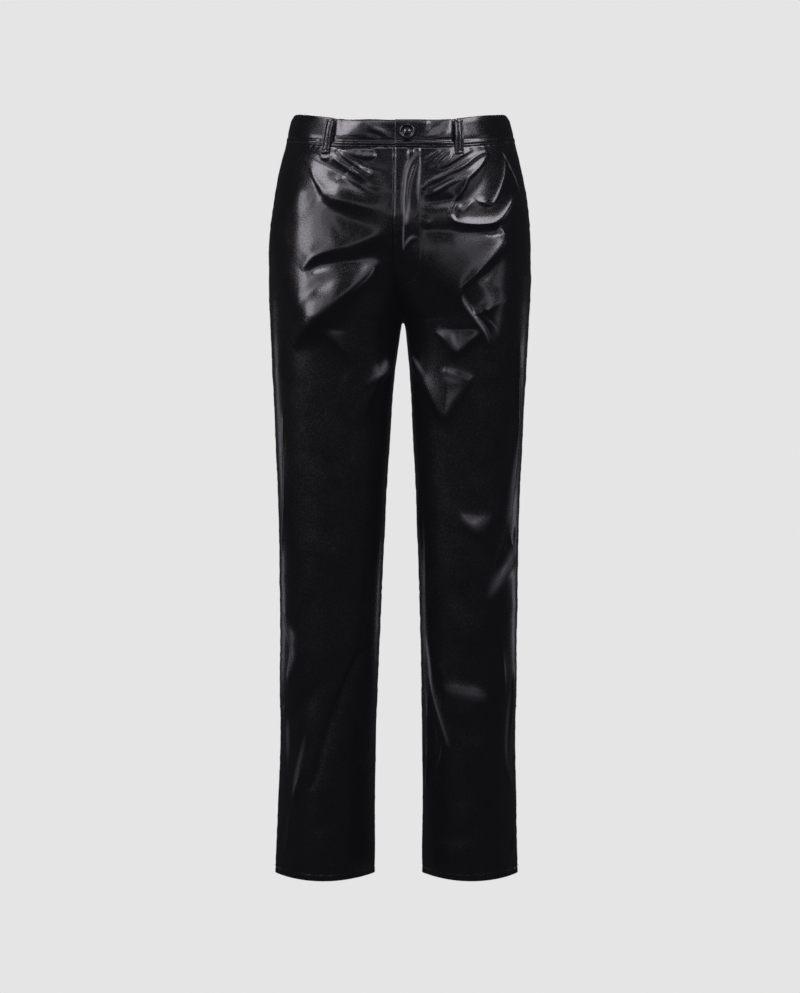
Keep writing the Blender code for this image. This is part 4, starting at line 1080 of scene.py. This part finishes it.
class Cloth:
    """Where points of a panel are on the cloth: their way and place round, and how far from its edges."""

    def __init__(self, hand, face, z, u):
        around = ROUNDS[hand, face]
        self.way = around.way(z, u)
        self.place = around.signed(self.way)
        self.to_inner = around.way(z, 0 * u + 1) - self.way
        self.from_waist = edge_z(WAIST_SEAM, hand, face, u)[0] - z
        self.from_hem = z - HEM_Z
        self.z = z

    def fold_sum(self, folds):
        """The height of the folds alone."""
        relief = np.zeros_like(self.place)
        for path, lean, crest in folds:
            relief += fold_relief(self.place, self.z, path, lean, crest)
        held = ramp(self.to_inner, 0, INNER_HOLD) * ramp(self.from_waist, 0, WAIST_HOLD)
        relief *= held * ramp(self.from_hem, 0, HEM_HOLD)
        relief += crumple(self.place, self.z, *CRUMPLE) * ramp(self.from_waist, 0, CRUMPLE_HOLD)
        return relief + crumple(self.place, self.z, *FINE_CRUMPLE)


def panel_relief(hand, face, z, u, folds):
    """The height of the panel's skin over the plain form."""
    around = ROUNDS[hand, face]
    at = Cloth(hand, face, z, u)
    relief = at.fold_sum(folds[face])
    relief += puckers(z, at.to_inner, "inner")
    relief -= sunk(at.to_inner, SEAM_SINK, SEAM_ROLL)
    if face == "front":
        from_opening = at.way - around.way(z, pocket_start(hand, z))
        opening = ramp(z, POCKET_END_Z - POCKET_FADE, POCKET_END_Z)
        lift = POCKET_LIFT * (1 - ramp(from_opening, *POCKET_LIFT_RAMP))
        relief += opening * (rounded(from_opening, EDGE_ROLL["pocket"]) + lift)
        depth, width = STITCH_GROOVE["pocket"]
        relief -= opening * depth * groove(from_opening - POCKET_STITCH, width)
        relief -= (1 - opening) * SEAM_SINK * (1 - ramp(at.way, 0, SEAM_ROLL))
        relief += puckers(z, from_opening, "pocket")
        if hand > 0:
            across = cloth_point(hand, face, z, u)[..., 0]
            lift = FLY_LIFT * (1 - ramp(across, FLY_LIFT_FROM_X, FLY_WIDTH))
            relief += lift * ramp(z, FLY_BOTTOM_Z, FLY_BOTTOM_Z + FLY_LIFT_FADE)
            line = around.path([(*point, *FLY_GROOVE) for point in FLY_STITCH], 4)
            relief += fold_relief(at.place, z, line, 0, FLY_GROOVE_CREST)
            edge = ramp(z, FLY_BOTTOM_Z - FLY_EDGE_FADE, FLY_BOTTOM_Z + FLY_EDGE_FADE)
            relief += rounded(at.to_inner, EDGE_ROLL["fly"]) * edge
        else:
            relief -= sunk(at.to_inner, *UNDERLAP_SINK) * ramp(z, FLY_BOTTOM_Z, FLY_BOTTOM_Z + UNDERLAP_FADE)
    else:
        relief -= sunk(at.way, SEAM_SINK, SEAM_ROLL)
        relief += puckers(z, at.way, "side")
    relief += puckers(at.place, at.from_waist, "waist")
    relief -= sunk(at.from_waist, *WAIST_SINK)
    depth, width = STITCH_GROOVE["hem"]
    relief -= depth * groove(at.from_hem - HEM_STITCH, width)
    relief += puckers(at.place, np.abs(at.from_hem - HEM_STITCH), "hem")
    return relief + rounded(at.from_hem, EDGE_ROLL["hem"])


def panel_skin(hand, face, z, u, folds):
    """The panel's face on a grid of heights and u."""
    plain = cloth_point(hand, face, z, u)
    relief = panel_relief(hand, face, z, u, folds)
    push = outward_normals(plain, hand, face) * relief[..., None]
    held = (1 - ramp(1 - u, 0, CENTRE_HELD)) * ramp(z, CROTCH_Z - CENTRE_HELD_FADE, CROTCH_Z)
    push[..., 0] *= 1 - held
    return plain + push + np.array([-hand * CENTRE_LAP, SEAM_GAP if face == "back" else -SEAM_GAP, 0]) / 2


def painted_highlight(hand, face, z, u):
    """How much pale colour is painted along the creases as highlight."""
    pale = 0 * z
    if face == "front":
        around = ROUNDS[hand, face]
        place = around.signed(around.way(z, u))
        for points in PAINTED_HIGHLIGHTS:
            if np.sign(points[0][0]) == hand:
                pale += fold_relief(place, z, around.path(points), 0, HIGHLIGHT_CREST)
    return pale


def add_panel(hand, face, materials, folds):
    u, z = panel_grid(hand, face)
    skin = panel_skin(hand, face, z, u, folds)
    coarse = skin[::2, ::2]
    normals = outward_normals(coarse, hand, face)
    offsets = -WALL * normals
    seam_side = 1 if face == "front" else -1
    rise, leg = slice(0, RISE_ROWS // 2 + 1), slice(RISE_ROWS // 2, None)
    # the wall is held to the side seam's plane, the inseam's and the centre seam's
    seams = [(slice(None), 0, 1, seam_side), (leg, -1, 1, seam_side), (rise, -1, 0, -hand)]
    for rows, column, axis, keep in seams:
        offsets[rows, column] = mitred(offsets[rows, column], normals[rows, column], axis, keep)
    name = f"{face}_{side_name(hand)}"
    runs_left = (hand > 0) == (face == "front")
    piece = add_wall(f"leather_{name}", skin, coarse + offsets, runs_left, materials, name, 2)
    # painted highlights along creases, stored on the outer skin's points
    pale = painted_highlight(hand, face, z, u)[:, :: -1 if runs_left else 1]
    values = np.zeros(len(piece.data.vertices), np.float32)
    values[: pale.size] = pale.reshape(-1)
    piece.data.attributes.new(HIGHLIGHT_ATTRIBUTE, "FLOAT", "POINT").data.foreach_set("value", values)


# ---------------------------------------------------------------- waistband, facings, loops and button

BAND_CROWN = 0.6
BAND_GATHER = (38, 1, 71, 0.45)  # how the ridge and the furrow over the band's seam come and go
BAND_GATHER_MEAN = 0.75
BAND_RIDGE = (4.6, 2.0, 0.9)  # height over the seam, width and height
BAND_FURROW = (8.6, 2.6, 1.0)
BAND_CRUMPLES = [(33, 37, 73, 0.35), (13, 23, 79, 0.1)]
BAND_TOP_ROLL = 0.7
BAND_SIDE_ROLL = 3.0
BAND_SIDE_REACH = 30
BAND_TOP_REACH = 9
CENTRE_NEAR = 20
FACING_HOLD = 12
FACING_SINK = (0.6, 2.4)
FACING_SPLIT = 0.7  # the share of a facing's columns up to the pocket's edge
FACING_UNDER_SHARE = 0.3
FACING_DROP = (0.15, 0.8)  # shares of the way to the pocket's edge between which it sinks under the panel
LOOP_TOP_BAR = 3.5  # how far from each end of a loop the groove of its bar of stitches is
LOOP_FOOT_BAR = 4.5
LOOP_CROWN = 0.4  # how much a loop is crowned at its middle, and by how much less at its edges
LOOP_CROWN_FALL = 1.3
LOOP_TOP_FADE = (1, 6)
LOOP_FOOT_FADE = (5, 11)
LOOP_WAVE = 0.5
LOOP_WAVE_SPACING = (5.5, 6.5)
LOOP_WAVE_SIDE_FADE = (0.8, 3)
LOOP_WAVE_TOP_FADE = (2, 8)
LOOP_RIDGE = (0.9, 0.3, 0.8)  # inset, height and width
LOOP_BACK_SEED = 7


def band_edges(hand, face, u):
    """Heights of the band's seam and of its top edge."""
    return edge_z(WAIST_SEAM, hand, face, u)[0] + SEAM_GAP, edge_z(WAIST_TOP, hand, face, u)[0]


def band_skin(hand, face, share, u, folds):
    """The band's face: share runs from 0 at its seam to 1 at its top edge."""
    low, high = band_edges(hand, face, u)
    z = low + (high - low) * share
    around = ROUNDS[hand, face]
    from_side = around.way(z, u)
    place = around.signed(from_side)
    over_seam = z - low
    relief = BAND_PROUD + BAND_CROWN * np.sin(np.pi * share) + 0 * z
    for path, lean, crest in folds[face]:
        relief += fold_relief(place, z, path, lean, crest)
    ridge, furrow = (h * groove(over_seam - up, width) for up, width, h in (BAND_RIDGE, BAND_FURROW))
    relief += (BAND_GATHER_MEAN + crumple(place, 0 * z, *BAND_GATHER)) * (ridge - furrow)
    for row in BAND_CRUMPLES:
        relief += crumple(place, z, *row)
    relief += puckers(place, over_seam, "band")
    depth, width = STITCH_GROOVE["band"]
    relief -= depth * groove(over_seam - BAND_STITCH, width)
    roll = BAND_TOP_ROLL + sunk(from_side, BAND_SIDE_ROLL, BAND_SIDE_REACH)
    relief += rounded(over_seam, EDGE_ROLL["band_seam"])
    relief += rounded(high - z, EDGE_ROLL["band_top"])
    return cloth_point(hand, face, z, u), relief - roll * (1 - ramp(high - z, 0, BAND_TOP_REACH)) ** 1.5


def lap(hand, plain, in_front):
    """How far a band's end leaves the plain form where the left end lies over the right one."""
    if hand > 0:
        return BAND_LIFT * (1 - ramp(plain[..., 0], BAND_LAP_X, BAND_LAP_X + BAND_LAP_RAMP)) * in_front
    end = CENTRES[0][1]
    return -BAND_SINK * ramp(plain[..., 0], end - BAND_LAP_RAMP, end - 1) * in_front


def underlap(last, columns):
    """Columns that carry the band's right end straight on under the left end."""
    carried = np.repeat(last[:, None, :], len(columns), axis=1)
    carried[..., 0] += (BAND_LAP_X - last[:, None, 0]) * columns
    return carried


def band_grid(hand, share, folds, columns):
    """The face and the normals of half the waistband, from the centre back to its front end."""
    u = np.linspace(0, 1, columns + 1)[None, :]
    back, front = (band_skin(hand, face, share, u + 0 * share, folds) for face in ("back", "front"))
    plain, relief = (np.concatenate([b[:, ::-1], f[:, 1:]], axis=1) for b, f in zip(back, front))
    plain[..., 0] -= np.where(np.abs(plain[..., 0]) < CENTRE_NEAR, hand * CENTRE_LAP / 2, 0)
    if hand < 0:
        steps = np.linspace(0, 1, LAP_COLUMNS + 1)[1:]
        plain = np.concatenate([plain, underlap(plain[:, -1], steps)], axis=1)
        relief = np.concatenate([relief, np.repeat(relief[:, -1:], LAP_COLUMNS, axis=1)], axis=1)
    normals = outward_normals(plain, hand, "front")
    relief += lap(hand, plain, plain[..., 1] < 0)
    along = running(np.linalg.norm(np.diff(plain[..., :2], axis=1), axis=-1))
    for distance in (along, along[:, -1:] - along):
        relief += rounded(distance, EDGE_ROLL["band_end"])
    return plain + normals * relief[..., None], normals


def add_band(hand, materials, folds):
    share = (1 + np.cos(np.linspace(0, np.pi, BAND_ROWS + 1)))[:, None] / 2
    outer, _ = band_grid(hand, share, folds, BAND_COLUMNS)
    outer = outer[:, : (outer.shape[1] - 1) // 2 * 2 + 1]
    coarse = outer[::2, ::2]
    inner = coarse - outward_normals(coarse, hand, "front") * BAND_WALL
    name = side_name(hand)
    add_wall(f"leather_band_{name}", outer, inner, hand > 0, materials, f"waistband_{name}", 2)


def add_facing(hand, materials, folds):
    """The pocket's facing. It lies under the panel's edge and comes up flush at the side seam."""
    rows = int(RISE_ROWS * FACING_SHARE) + 1
    side_z, inner_z = (heights[:rows] for heights in panel_heights(hand, "front"))
    start = pocket_start(hand, side_z)[:, None]
    reach = FACING_UNDER / ROUNDS[hand, "front"].way(side_z, 0 * side_z + 1)[:, None]
    share = np.linspace(0, 1, FACING_COLUMNS + 1)
    under = start + reach * (share - FACING_SPLIT) / FACING_UNDER_SHARE
    u = np.where(share < FACING_SPLIT, start * share / FACING_SPLIT, under)
    z = row_heights(hand, "front", u, side_z, inner_z)
    plain = cloth_point(hand, "front", z, u)
    normals = outward_normals(plain, hand, "front")
    at = Cloth(hand, "front", z, u)
    depth = (WALL + 2 * SEAM_GAP) * ramp(u / start, *FACING_DROP)
    relief = at.fold_sum(folds["front"]) * ramp(at.way, 0, FACING_HOLD) - depth
    relief += puckers(z, at.way, "facing") - sunk(at.way, *FACING_SINK)
    outer = plain + normals * relief[..., None] + np.array([hand, -1, 0]) * SEAM_GAP / 2
    offsets = -WALL * normals
    offsets[:, 0] = mitred(offsets[:, 0], normals[:, 0], 1, 1)
    name = f"pocket_facing_{side_name(hand)}"
    add_wall(f"leather_{name}", outer, outer + offsets, hand > 0, materials, name)


def reach_at_x(line, x):
    """How far from the crease towards the side seam an x is."""
    return np.clip((x - line["crease_x"]) / (line["side_x"] - line["crease_x"]), 0, 1)


def surface_at_x(face, x, z):
    """Points of the plain form at an x in the section's outer quarter or on its flat front."""
    found = []
    for hand in (1, -1):
        line = outline(hand, face, z)
        y = line["depth"] * (1 - reach_at_x(line, x) ** 2) ** line["corner"]
        found.append(line["mid_y"] + (y if face == "back" else -y))
    return np.stack([x + 0 * z, np.where(x > 0, found[0], found[1]), z + 0 * x], axis=-1)


def edge_height(edge, face, x):
    """The height of a waist edge at an x."""
    reach = reach_at_x(outline(1 if x > 0 else -1, face, np.array(float(edge["side"]))), x)
    return edge["side"] + (edge[face] - edge["side"]) * np.sqrt(1 - reach**2) ** edge["power"]


def loop_grid(face, top_x, foot_x, t, across):
    """A belt loop's back skin and its normals. t runs from 0 at its top to 1 at its foot."""
    top = edge_height(WAIST_TOP, face, top_x) - LOOP_BELOW_TOP
    foot = edge_height(WAIST_SEAM, face, foot_x) - LOOP_BELOW_SEAM
    z = (top + (foot - top) * t)[:, None]
    middle_x = (top_x + (foot_x - top_x) * t)[:, None]
    near, beside = (surface_at_x(face, middle_x + step, z) for step in (0, 1))
    tangent = (beside - near) / np.linalg.norm(beside - near, axis=-1, keepdims=True)
    plain = surface_at_x(face, middle_x + tangent[..., 0] * across[None, :], z + 0 * across[None, :])
    if face == "back":
        plain = plain[:, ::-1]
    normals = outward_normals(plain, -1, "front")
    stand_off = BAND_PROUD + SEAM_GAP + LOOP_STAND_OFF * np.sin(np.pi * t) ** 0.8
    return plain + normals * stand_off[:, None, None], normals


def add_loop(name, face, top_x, foot_x, materials):
    """A strip folded in three, down over the band, which stands off it between its two sewn ends."""
    t = np.linspace(0, 1, LOOP_ROWS + 1)
    half = LOOP_WIDTH / 2
    across = half * np.sin(np.linspace(-np.pi / 2, np.pi / 2, LOOP_COLUMNS + 1))
    inner, normals = loop_grid(face, top_x, foot_x, t, across)
    length = np.linalg.norm(inner[-1, 0] - inner[0, 0])
    along, side = t[:, None] * length, half - np.abs(across)[None, :]
    to_foot = length - along
    seed = int(abs(top_x)) + (LOOP_BACK_SEED if face == "back" else 0)
    wave = lattice(across[None, :] + 0 * along, along + 0 * side, *LOOP_WAVE_SPACING, seed)
    crown = (LOOP_CROWN - LOOP_CROWN_FALL * np.abs(across) / half)[None, :]
    relief = LOOP_WALL + crown * ramp(along, *LOOP_TOP_FADE) * ramp(to_foot, *LOOP_FOOT_FADE)
    relief += LOOP_WAVE * wave * ramp(side, *LOOP_WAVE_SIDE_FADE) * ramp(along, *LOOP_WAVE_TOP_FADE)
    inset, height, width = LOOP_RIDGE
    relief += height * groove(side - inset, width)
    depth, width = STITCH_GROOVE["loop"]
    relief -= depth * groove(side - LOOP_STITCH - LOOP_STITCH_ROOM, width)
    for distance in (side, along, to_foot):
        relief += rounded(distance, EDGE_ROLL["loop"])
    depth, width = STITCH_GROOVE["bar"]
    for distance in (to_foot - LOOP_FOOT_BAR, along - LOOP_TOP_BAR):
        relief -= depth * groove(distance, width)
    outer = inner + normals * relief[..., None]
    add_wall(f"leather_{name}", outer, inner, False, materials, name)


def button_seat():
    """The button's place on the band and the direction it faces."""
    height, x = np.array(float(BUTTON_Z)), np.array(float(BUTTON_X))
    seat = surface_at_x("front", x, height)
    above = surface_at_x("front", x, height + BUTTON_TILT_REACH)
    normal = Vector((1, 0, 0)).cross(Vector(above - seat).normalized())
    return Vector(seat) + normal * (BAND_PROUD + BAND_LIFT + BUTTON_SHANK), normal


def add_button(materials):
    profile = curve_through(BUTTON_PROFILE, 3)
    profile[:, 0] = np.maximum(profile[:, 0], 0)
    angles = np.linspace(0, 2 * np.pi, BUTTON_STEPS, endpoint=False)
    radius, height = (profile[1:-1, i][:, None] for i in (0, 1))
    points = np.stack([radius * np.cos(angles), radius * np.sin(angles), height + 0 * angles], axis=-1)
    rows, steps = len(radius), BUTTON_STEPS
    points = np.concatenate([points.reshape(-1, 3), [[0, 0, profile[0, 1]], [0, 0, profile[-1, 1]]]])
    faces = []
    for j in range(steps):
        k = (j + 1) % steps
        faces.append((rows * steps, j, k))
        faces.append((rows * steps + 1, (rows - 1) * steps + k, (rows - 1) * steps + j))
        for a in range(0, (rows - 1) * steps, steps):
            faces.append((a + j, a + steps + j, a + steps + k, a + k))
    data = smooth_mesh("button_turned", points, faces)
    place, normal = button_seat()
    turn = normal.to_track_quat("Z", "Y").to_matrix().to_4x4()
    turn.translation = place / METRE
    data.transform(turn)
    add_piece("button_turned", data, materials, ["button"])


# ---------------------------------------------------------------- stitching

# A stitch along its length: how far, how thick and how high over the cloth
STITCH_PROFILE = [
    (0.0, 0.35, -0.5), (0.14, 0.85, 0.3), (0.5, 1.0, 0.55), (0.86, 0.85, 0.3), (1.0, 0.35, -0.5)
]
STITCH_SIDES = 6
STITCH_SINK = 0.3  # how far a loop's stitches lie in it
LEG_MIDDLE = 85  # x of the middle of a leg, which normals point away from
POCKET_STITCH_TOP = 8  # how far under the waist seam it starts
POCKET_STITCH_POINTS = 60
FLY_STITCH_STEPS = 14
HEM_STITCH_ENDS = (0.01, 0.99)
HEM_STITCH_POINTS = 200
BAND_STITCH_STEP = 0.3  # to the rows over and under it, for normals
BAND_HEIGHT = 40  # turns its height over the seam into a share of the band
BAND_STITCH_COLUMNS = 150
LOOP_STITCH_ENDS = (0.03, 0.97)
LOOP_STITCH_POINTS = 40
LOOP_BARS = (0.08, 0.9)
LOOP_BAR_STEP = 0.01
LOOP_BAR_POINTS = 9


def stitches(points, normals):
    """Thread stitches along a line of surface points, as vertices and faces."""
    along = running(np.linalg.norm(np.diff(points, axis=0), axis=-1))
    count = int(along[-1] // STITCH_PITCH)
    profile = np.array(STITCH_PROFILE)
    turns = np.linspace(0, 2 * np.pi, STITCH_SIDES, endpoint=False)
    starts = (np.arange(count) + 0.5 * (1 - STITCH_SHARE)) * STITCH_PITCH
    at = starts[:, None] + profile[:, 0] * STITCH_PITCH * STITCH_SHARE
    place, up = (
        np.stack([np.interp(at, along, axis) for axis in values.T], axis=-1) for values in (points, normals)
    )
    side = unit(np.cross(unit(place[:, -1:] - place[:, :1]), up))
    middle = place + up * (profile[:, 2] * THREAD)[None, :, None]
    ring = (
        np.cos(turns)[:, None] * side[:, :, None, :] + np.sin(turns)[:, None] * up[:, :, None, :]
    ) * (profile[:, 1] * THREAD)[None, :, None, None]
    faces = []
    rings, sides = len(profile), len(turns)
    for base in range(0, count * rings * sides, rings * sides):
        for a in range(base, base + (rings - 1) * sides, sides):
            for j in range(sides):
                k = (j + 1) % sides
                faces.append((a + j, a + k, a + sides + k, a + sides + j))
        faces.append(tuple(base + j for j in reversed(range(sides))))
        faces.append(tuple(base + (rings - 1) * sides + j for j in range(sides)))
    return (middle[:, :, None, :] + ring).reshape(-1, 3), faces


def add_stitches(name, runs, materials):
    """All the stitches of some lines, joined."""
    all_verts, all_faces, base = [], [], 0
    for points, normals in runs:
        verts, faces = stitches(points, normals)
        all_verts.append(verts)
        all_faces += [tuple(i + base for i in face) for face in faces]
        base += len(verts)
    add_piece(name, smooth_mesh(name, np.concatenate(all_verts), all_faces), materials)


def on_panel(hand, face, z, u, folds):
    """Points of a panel's finished skin along a line, and the normals there."""
    z, u = np.array(z, float)[:, None], np.array(u, float)[:, None]
    beside = np.array([-BESIDE, 0, BESIDE])
    strip = panel_skin(hand, face, z + 0 * beside, u + beside, folds)
    normals = unit(np.cross(strip[:, 2] - strip[:, 0], np.gradient(strip[:, 1], axis=0)))
    out = strip[:, 1] * (1, 1, 0) - np.array([hand * LEG_MIDDLE, 0, 0])
    return strip[:, 1], normals * np.sign(np.sum(normals * out, axis=-1, keepdims=True))


def fly_stitch_run(folds):
    around = ROUNDS[1, "front"]
    place, z = around.path(FLY_STITCH[:-1], FLY_STITCH_STEPS).T
    return on_panel(1, "front", z, around.u_at(place, z), folds)


def pocket_stitch_run(hand, folds):
    around = ROUNDS[hand, "front"]
    z = np.linspace(WAIST_SEAM["side"] - POCKET_STITCH_TOP, POCKET_END_Z, POCKET_STITCH_POINTS)
    way = around.way(z, pocket_start(hand, z)) + POCKET_STITCH
    return on_panel(hand, "front", z, around.u_at(way, z), folds)


def hem_stitch_run(hand, face, folds):
    u = np.linspace(*HEM_STITCH_ENDS, HEM_STITCH_POINTS)
    return on_panel(hand, face, 0 * u + HEM_Z + HEM_STITCH, u, folds)


def band_stitch_run(hand, folds):
    step = BAND_STITCH_STEP
    share = np.array([BAND_STITCH + step, BAND_STITCH, BAND_STITCH - step])[:, None] / BAND_HEIGHT
    points, normals = band_grid(hand, share, folds, BAND_STITCH_COLUMNS)
    end = LAP_COLUMNS if hand < 0 else 1
    return points[1, 1:-end], normals[1, 1:-end]


def loop_stitch_runs(face, top_x, foot_x):
    """Two lines down a loop and a bar across each end."""
    inset = LOOP_WIDTH / 2 - LOOP_STITCH - LOOP_STITCH_ROOM
    height = LOOP_WALL - STITCH_SINK
    t = np.linspace(*LOOP_STITCH_ENDS, LOOP_STITCH_POINTS)
    skin, normals = loop_grid(face, top_x, foot_x, t, np.array([-inset, 0, inset]))
    outer = skin + normals * height
    runs = [(outer[:, 0], normals[:, 0]), (outer[:, 2], normals[:, 2])]
    across = np.linspace(-inset, inset, LOOP_BAR_POINTS)
    for share in LOOP_BARS:
        t = np.array([share - LOOP_BAR_STEP, share, share + LOOP_BAR_STEP])
        skin, normals = loop_grid(face, top_x, foot_x, t, across)
        runs.append((skin[1] + normals[1] * height, normals[1]))
    return runs


# ---------------------------------------------------------------- studio

CAMERA_PLACE = Vector((0, -3.0, -0.5046))
CAMERA_LENS = 79.1
CAMERA_SENSOR = 36
PALE_GREY = (0.783, 0.783, 0.783, 1)
ROOM_GREY = (0.02, 0.02, 0.023, 1)
BLACK_LIFT = (0.0030, 0.0029, 0.0035)  # veiling light, as in any lens pointed at a pale backdrop


def add_camera():
    data = bpy.data.cameras.new("camera")
    data.lens = CAMERA_LENS
    data.sensor_width = CAMERA_SENSOR
    camera = add_object("camera", data)
    camera.location = CAMERA_PLACE
    camera.rotation_euler = (np.pi / 2, 0, 0)
    bpy.context.scene.camera = camera


def set_world():
    """A pale grey surround behind a part that is lit by its lamps alone."""
    world = bpy.data.worlds.new("studio")
    bpy.context.scene.world = world
    world.use_nodes = True
    tree = world.node_tree
    seen = node(tree, "LightPath").outputs["Is Camera Ray"]
    mix = node(tree, "Mix", {6: ROOM_GREY, 7: PALE_GREY, "Factor": seen}, data_type="RGBA")
    fill(tree, tree.nodes["Background"], {"Color": mix.outputs[2]})
    view = bpy.context.scene.view_settings
    view.view_transform = "Standard"
    view.use_curve_mapping = True
    view.curve_mapping.black_level = [-lift for lift in BLACK_LIFT]
    view.curve_mapping.update()


FLOOR_Z = -1.06
FLOOR_RADIUS = 3.0
FLOOR_SIDES = 96


def add_floor():
    """A pale disc of the surround's own grey, which gives the leather nothing to mirror and doesn't hide it
    from a camera under it."""
    angles = np.linspace(0, 2 * np.pi, FLOOR_SIDES, endpoint=False)
    ring = [(FLOOR_RADIUS * np.cos(a), FLOOR_RADIUS * np.sin(a), FLOOR_Z) for a in angles]
    data = bpy.data.meshes.new("floor")
    data.from_pydata(ring, [], [tuple(range(FLOOR_SIDES))])
    material = bpy.data.materials.new("floor_paper")
    material.use_nodes = True
    tree = material.node_tree
    tree.nodes.clear()
    under = node(tree, "NewGeometry").outputs["Backfacing"]
    paper = node(tree, "Emission", {"Color": PALE_GREY}).outputs["Emission"]
    clear = node(tree, "BsdfTransparent").outputs["BSDF"]
    mix = node(tree, "MixShader", {"Fac": under, 1: paper, 2: clear}).outputs["Shader"]
    node(tree, "OutputMaterial", {"Surface": mix})
    data.materials.append(material)
    floor = add_object("floor", data)
    for rays in ("diffuse", "glossy", "transmission", "shadow"):
        setattr(floor, f"visible_{rays}", False)


# azimuth is degrees round from the camera, above 0 towards the wearer's left. low and high are the heights
# of the lamp's edges, and it faces the garment.
LAMPS = [
    # name, azimuth, low, high, distance, width, radiance
    ("crown", 0, 2.40, 3.60, 2.5, 2.0, 2.7),
    ("front_left", 42, 1.10, 3.40, 2.5, 1.25, 8.0),
    ("front_right", -42, 1.10, 3.40, 2.5, 1.25, 8.0),
    ("high_left", 67, 2.15, 3.80, 2.5, 0.9, 8.0),
    ("high_right", -66, 2.25, 3.80, 2.5, 0.8, 6.5),
    ("side_left", 65, -0.04, 0.45, 2.5, 0.95, 0.8),
    ("side_right", -67, -0.04, 0.60, 2.5, 0.90, 5.5),
    ("soft_right", -48, -0.04, 0.75, 2.5, 0.80, 2.2),
    ("fill_left", 32, 0.00, 0.90, 2.4, 1.1, 1.0),
    ("fill_right", -28, 0.00, 0.90, 2.4, 0.9, 1.1),
    ("low_left", 10, -0.05, 0.28, 2.4, 0.8, 0.9),
    ("low_right", -10, -0.05, 0.28, 2.4, 0.8, 0.6),
    ("rim_left", 132, -0.95, -0.20, 2.4, 0.4, 0.7),
    ("rim_right", -132, -0.95, -0.20, 2.4, 0.4, 0.6),
    ("back_left", 165, 1.60, 3.60, 2.5, 0.9, 7.0),
    ("back_right", -165, 1.60, 3.60, 2.5, 0.9, 7.0),
    ("back_fill", 180, -0.10, 0.50, 2.4, 0.8, 1.6),
]
LAMP_COLOUR = (0.95, 0.905, 1.0)


def add_lamps():
    for name, azimuth, low, high, distance, width, radiance in LAMPS:
        turn = np.radians(azimuth)
        out = Vector((np.sin(turn), -np.cos(turn), 0)) * distance
        data = bpy.data.lights.new(name, "AREA")
        data.shape = "RECTANGLE"
        data.size = width
        data.size_y = high - low
        data.energy = radiance * np.pi * data.size * data.size_y
        data.color = LAMP_COLOUR
        lamp = add_object(name, data)
        lamp.location = out + Vector((0, 0, (low + high) / 2))
        lamp.rotation_euler = Vector((-out.x, -out.y, 0)).to_track_quat("-Z", "Y").to_euler()
        lamp.visible_camera = False


def main():
    cloth = [leather("faux_leather", LEATHER_ROUGHNESS), backing()]
    pressed = [leather("faux_leather_pressed", PRESSED_ROUGHNESS)]
    panels, bands, loops = [], [], []
    for hand in (1, -1):
        folds = fold_paths(FOLDS, hand)
        band_folds = fold_paths(BAND_FOLDS, hand)
        for face in ("front", "back"):
            add_panel(hand, face, cloth, folds)
            panels.append(hem_stitch_run(hand, face, folds))
        add_facing(hand, cloth, folds)
        add_band(hand, cloth, band_folds)
        panels.append(pocket_stitch_run(hand, folds))
        bands.append(band_stitch_run(hand, band_folds))
        if hand > 0:
            panels.append(fly_stitch_run(folds))
    for name, *place in LOOPS:
        add_loop(name, *place, pressed)
        loops += loop_stitch_runs(*place)
    add_button([glossy_plastic()])
    thread = [sewing_thread()]
    add_stitches("stitches_panels", panels, thread)
    add_stitches("stitches_band", bands, thread)
    add_stitches("stitches_loops", loops, thread)
    set_world()
    add_floor()
    add_lamps()
    add_camera()


main()
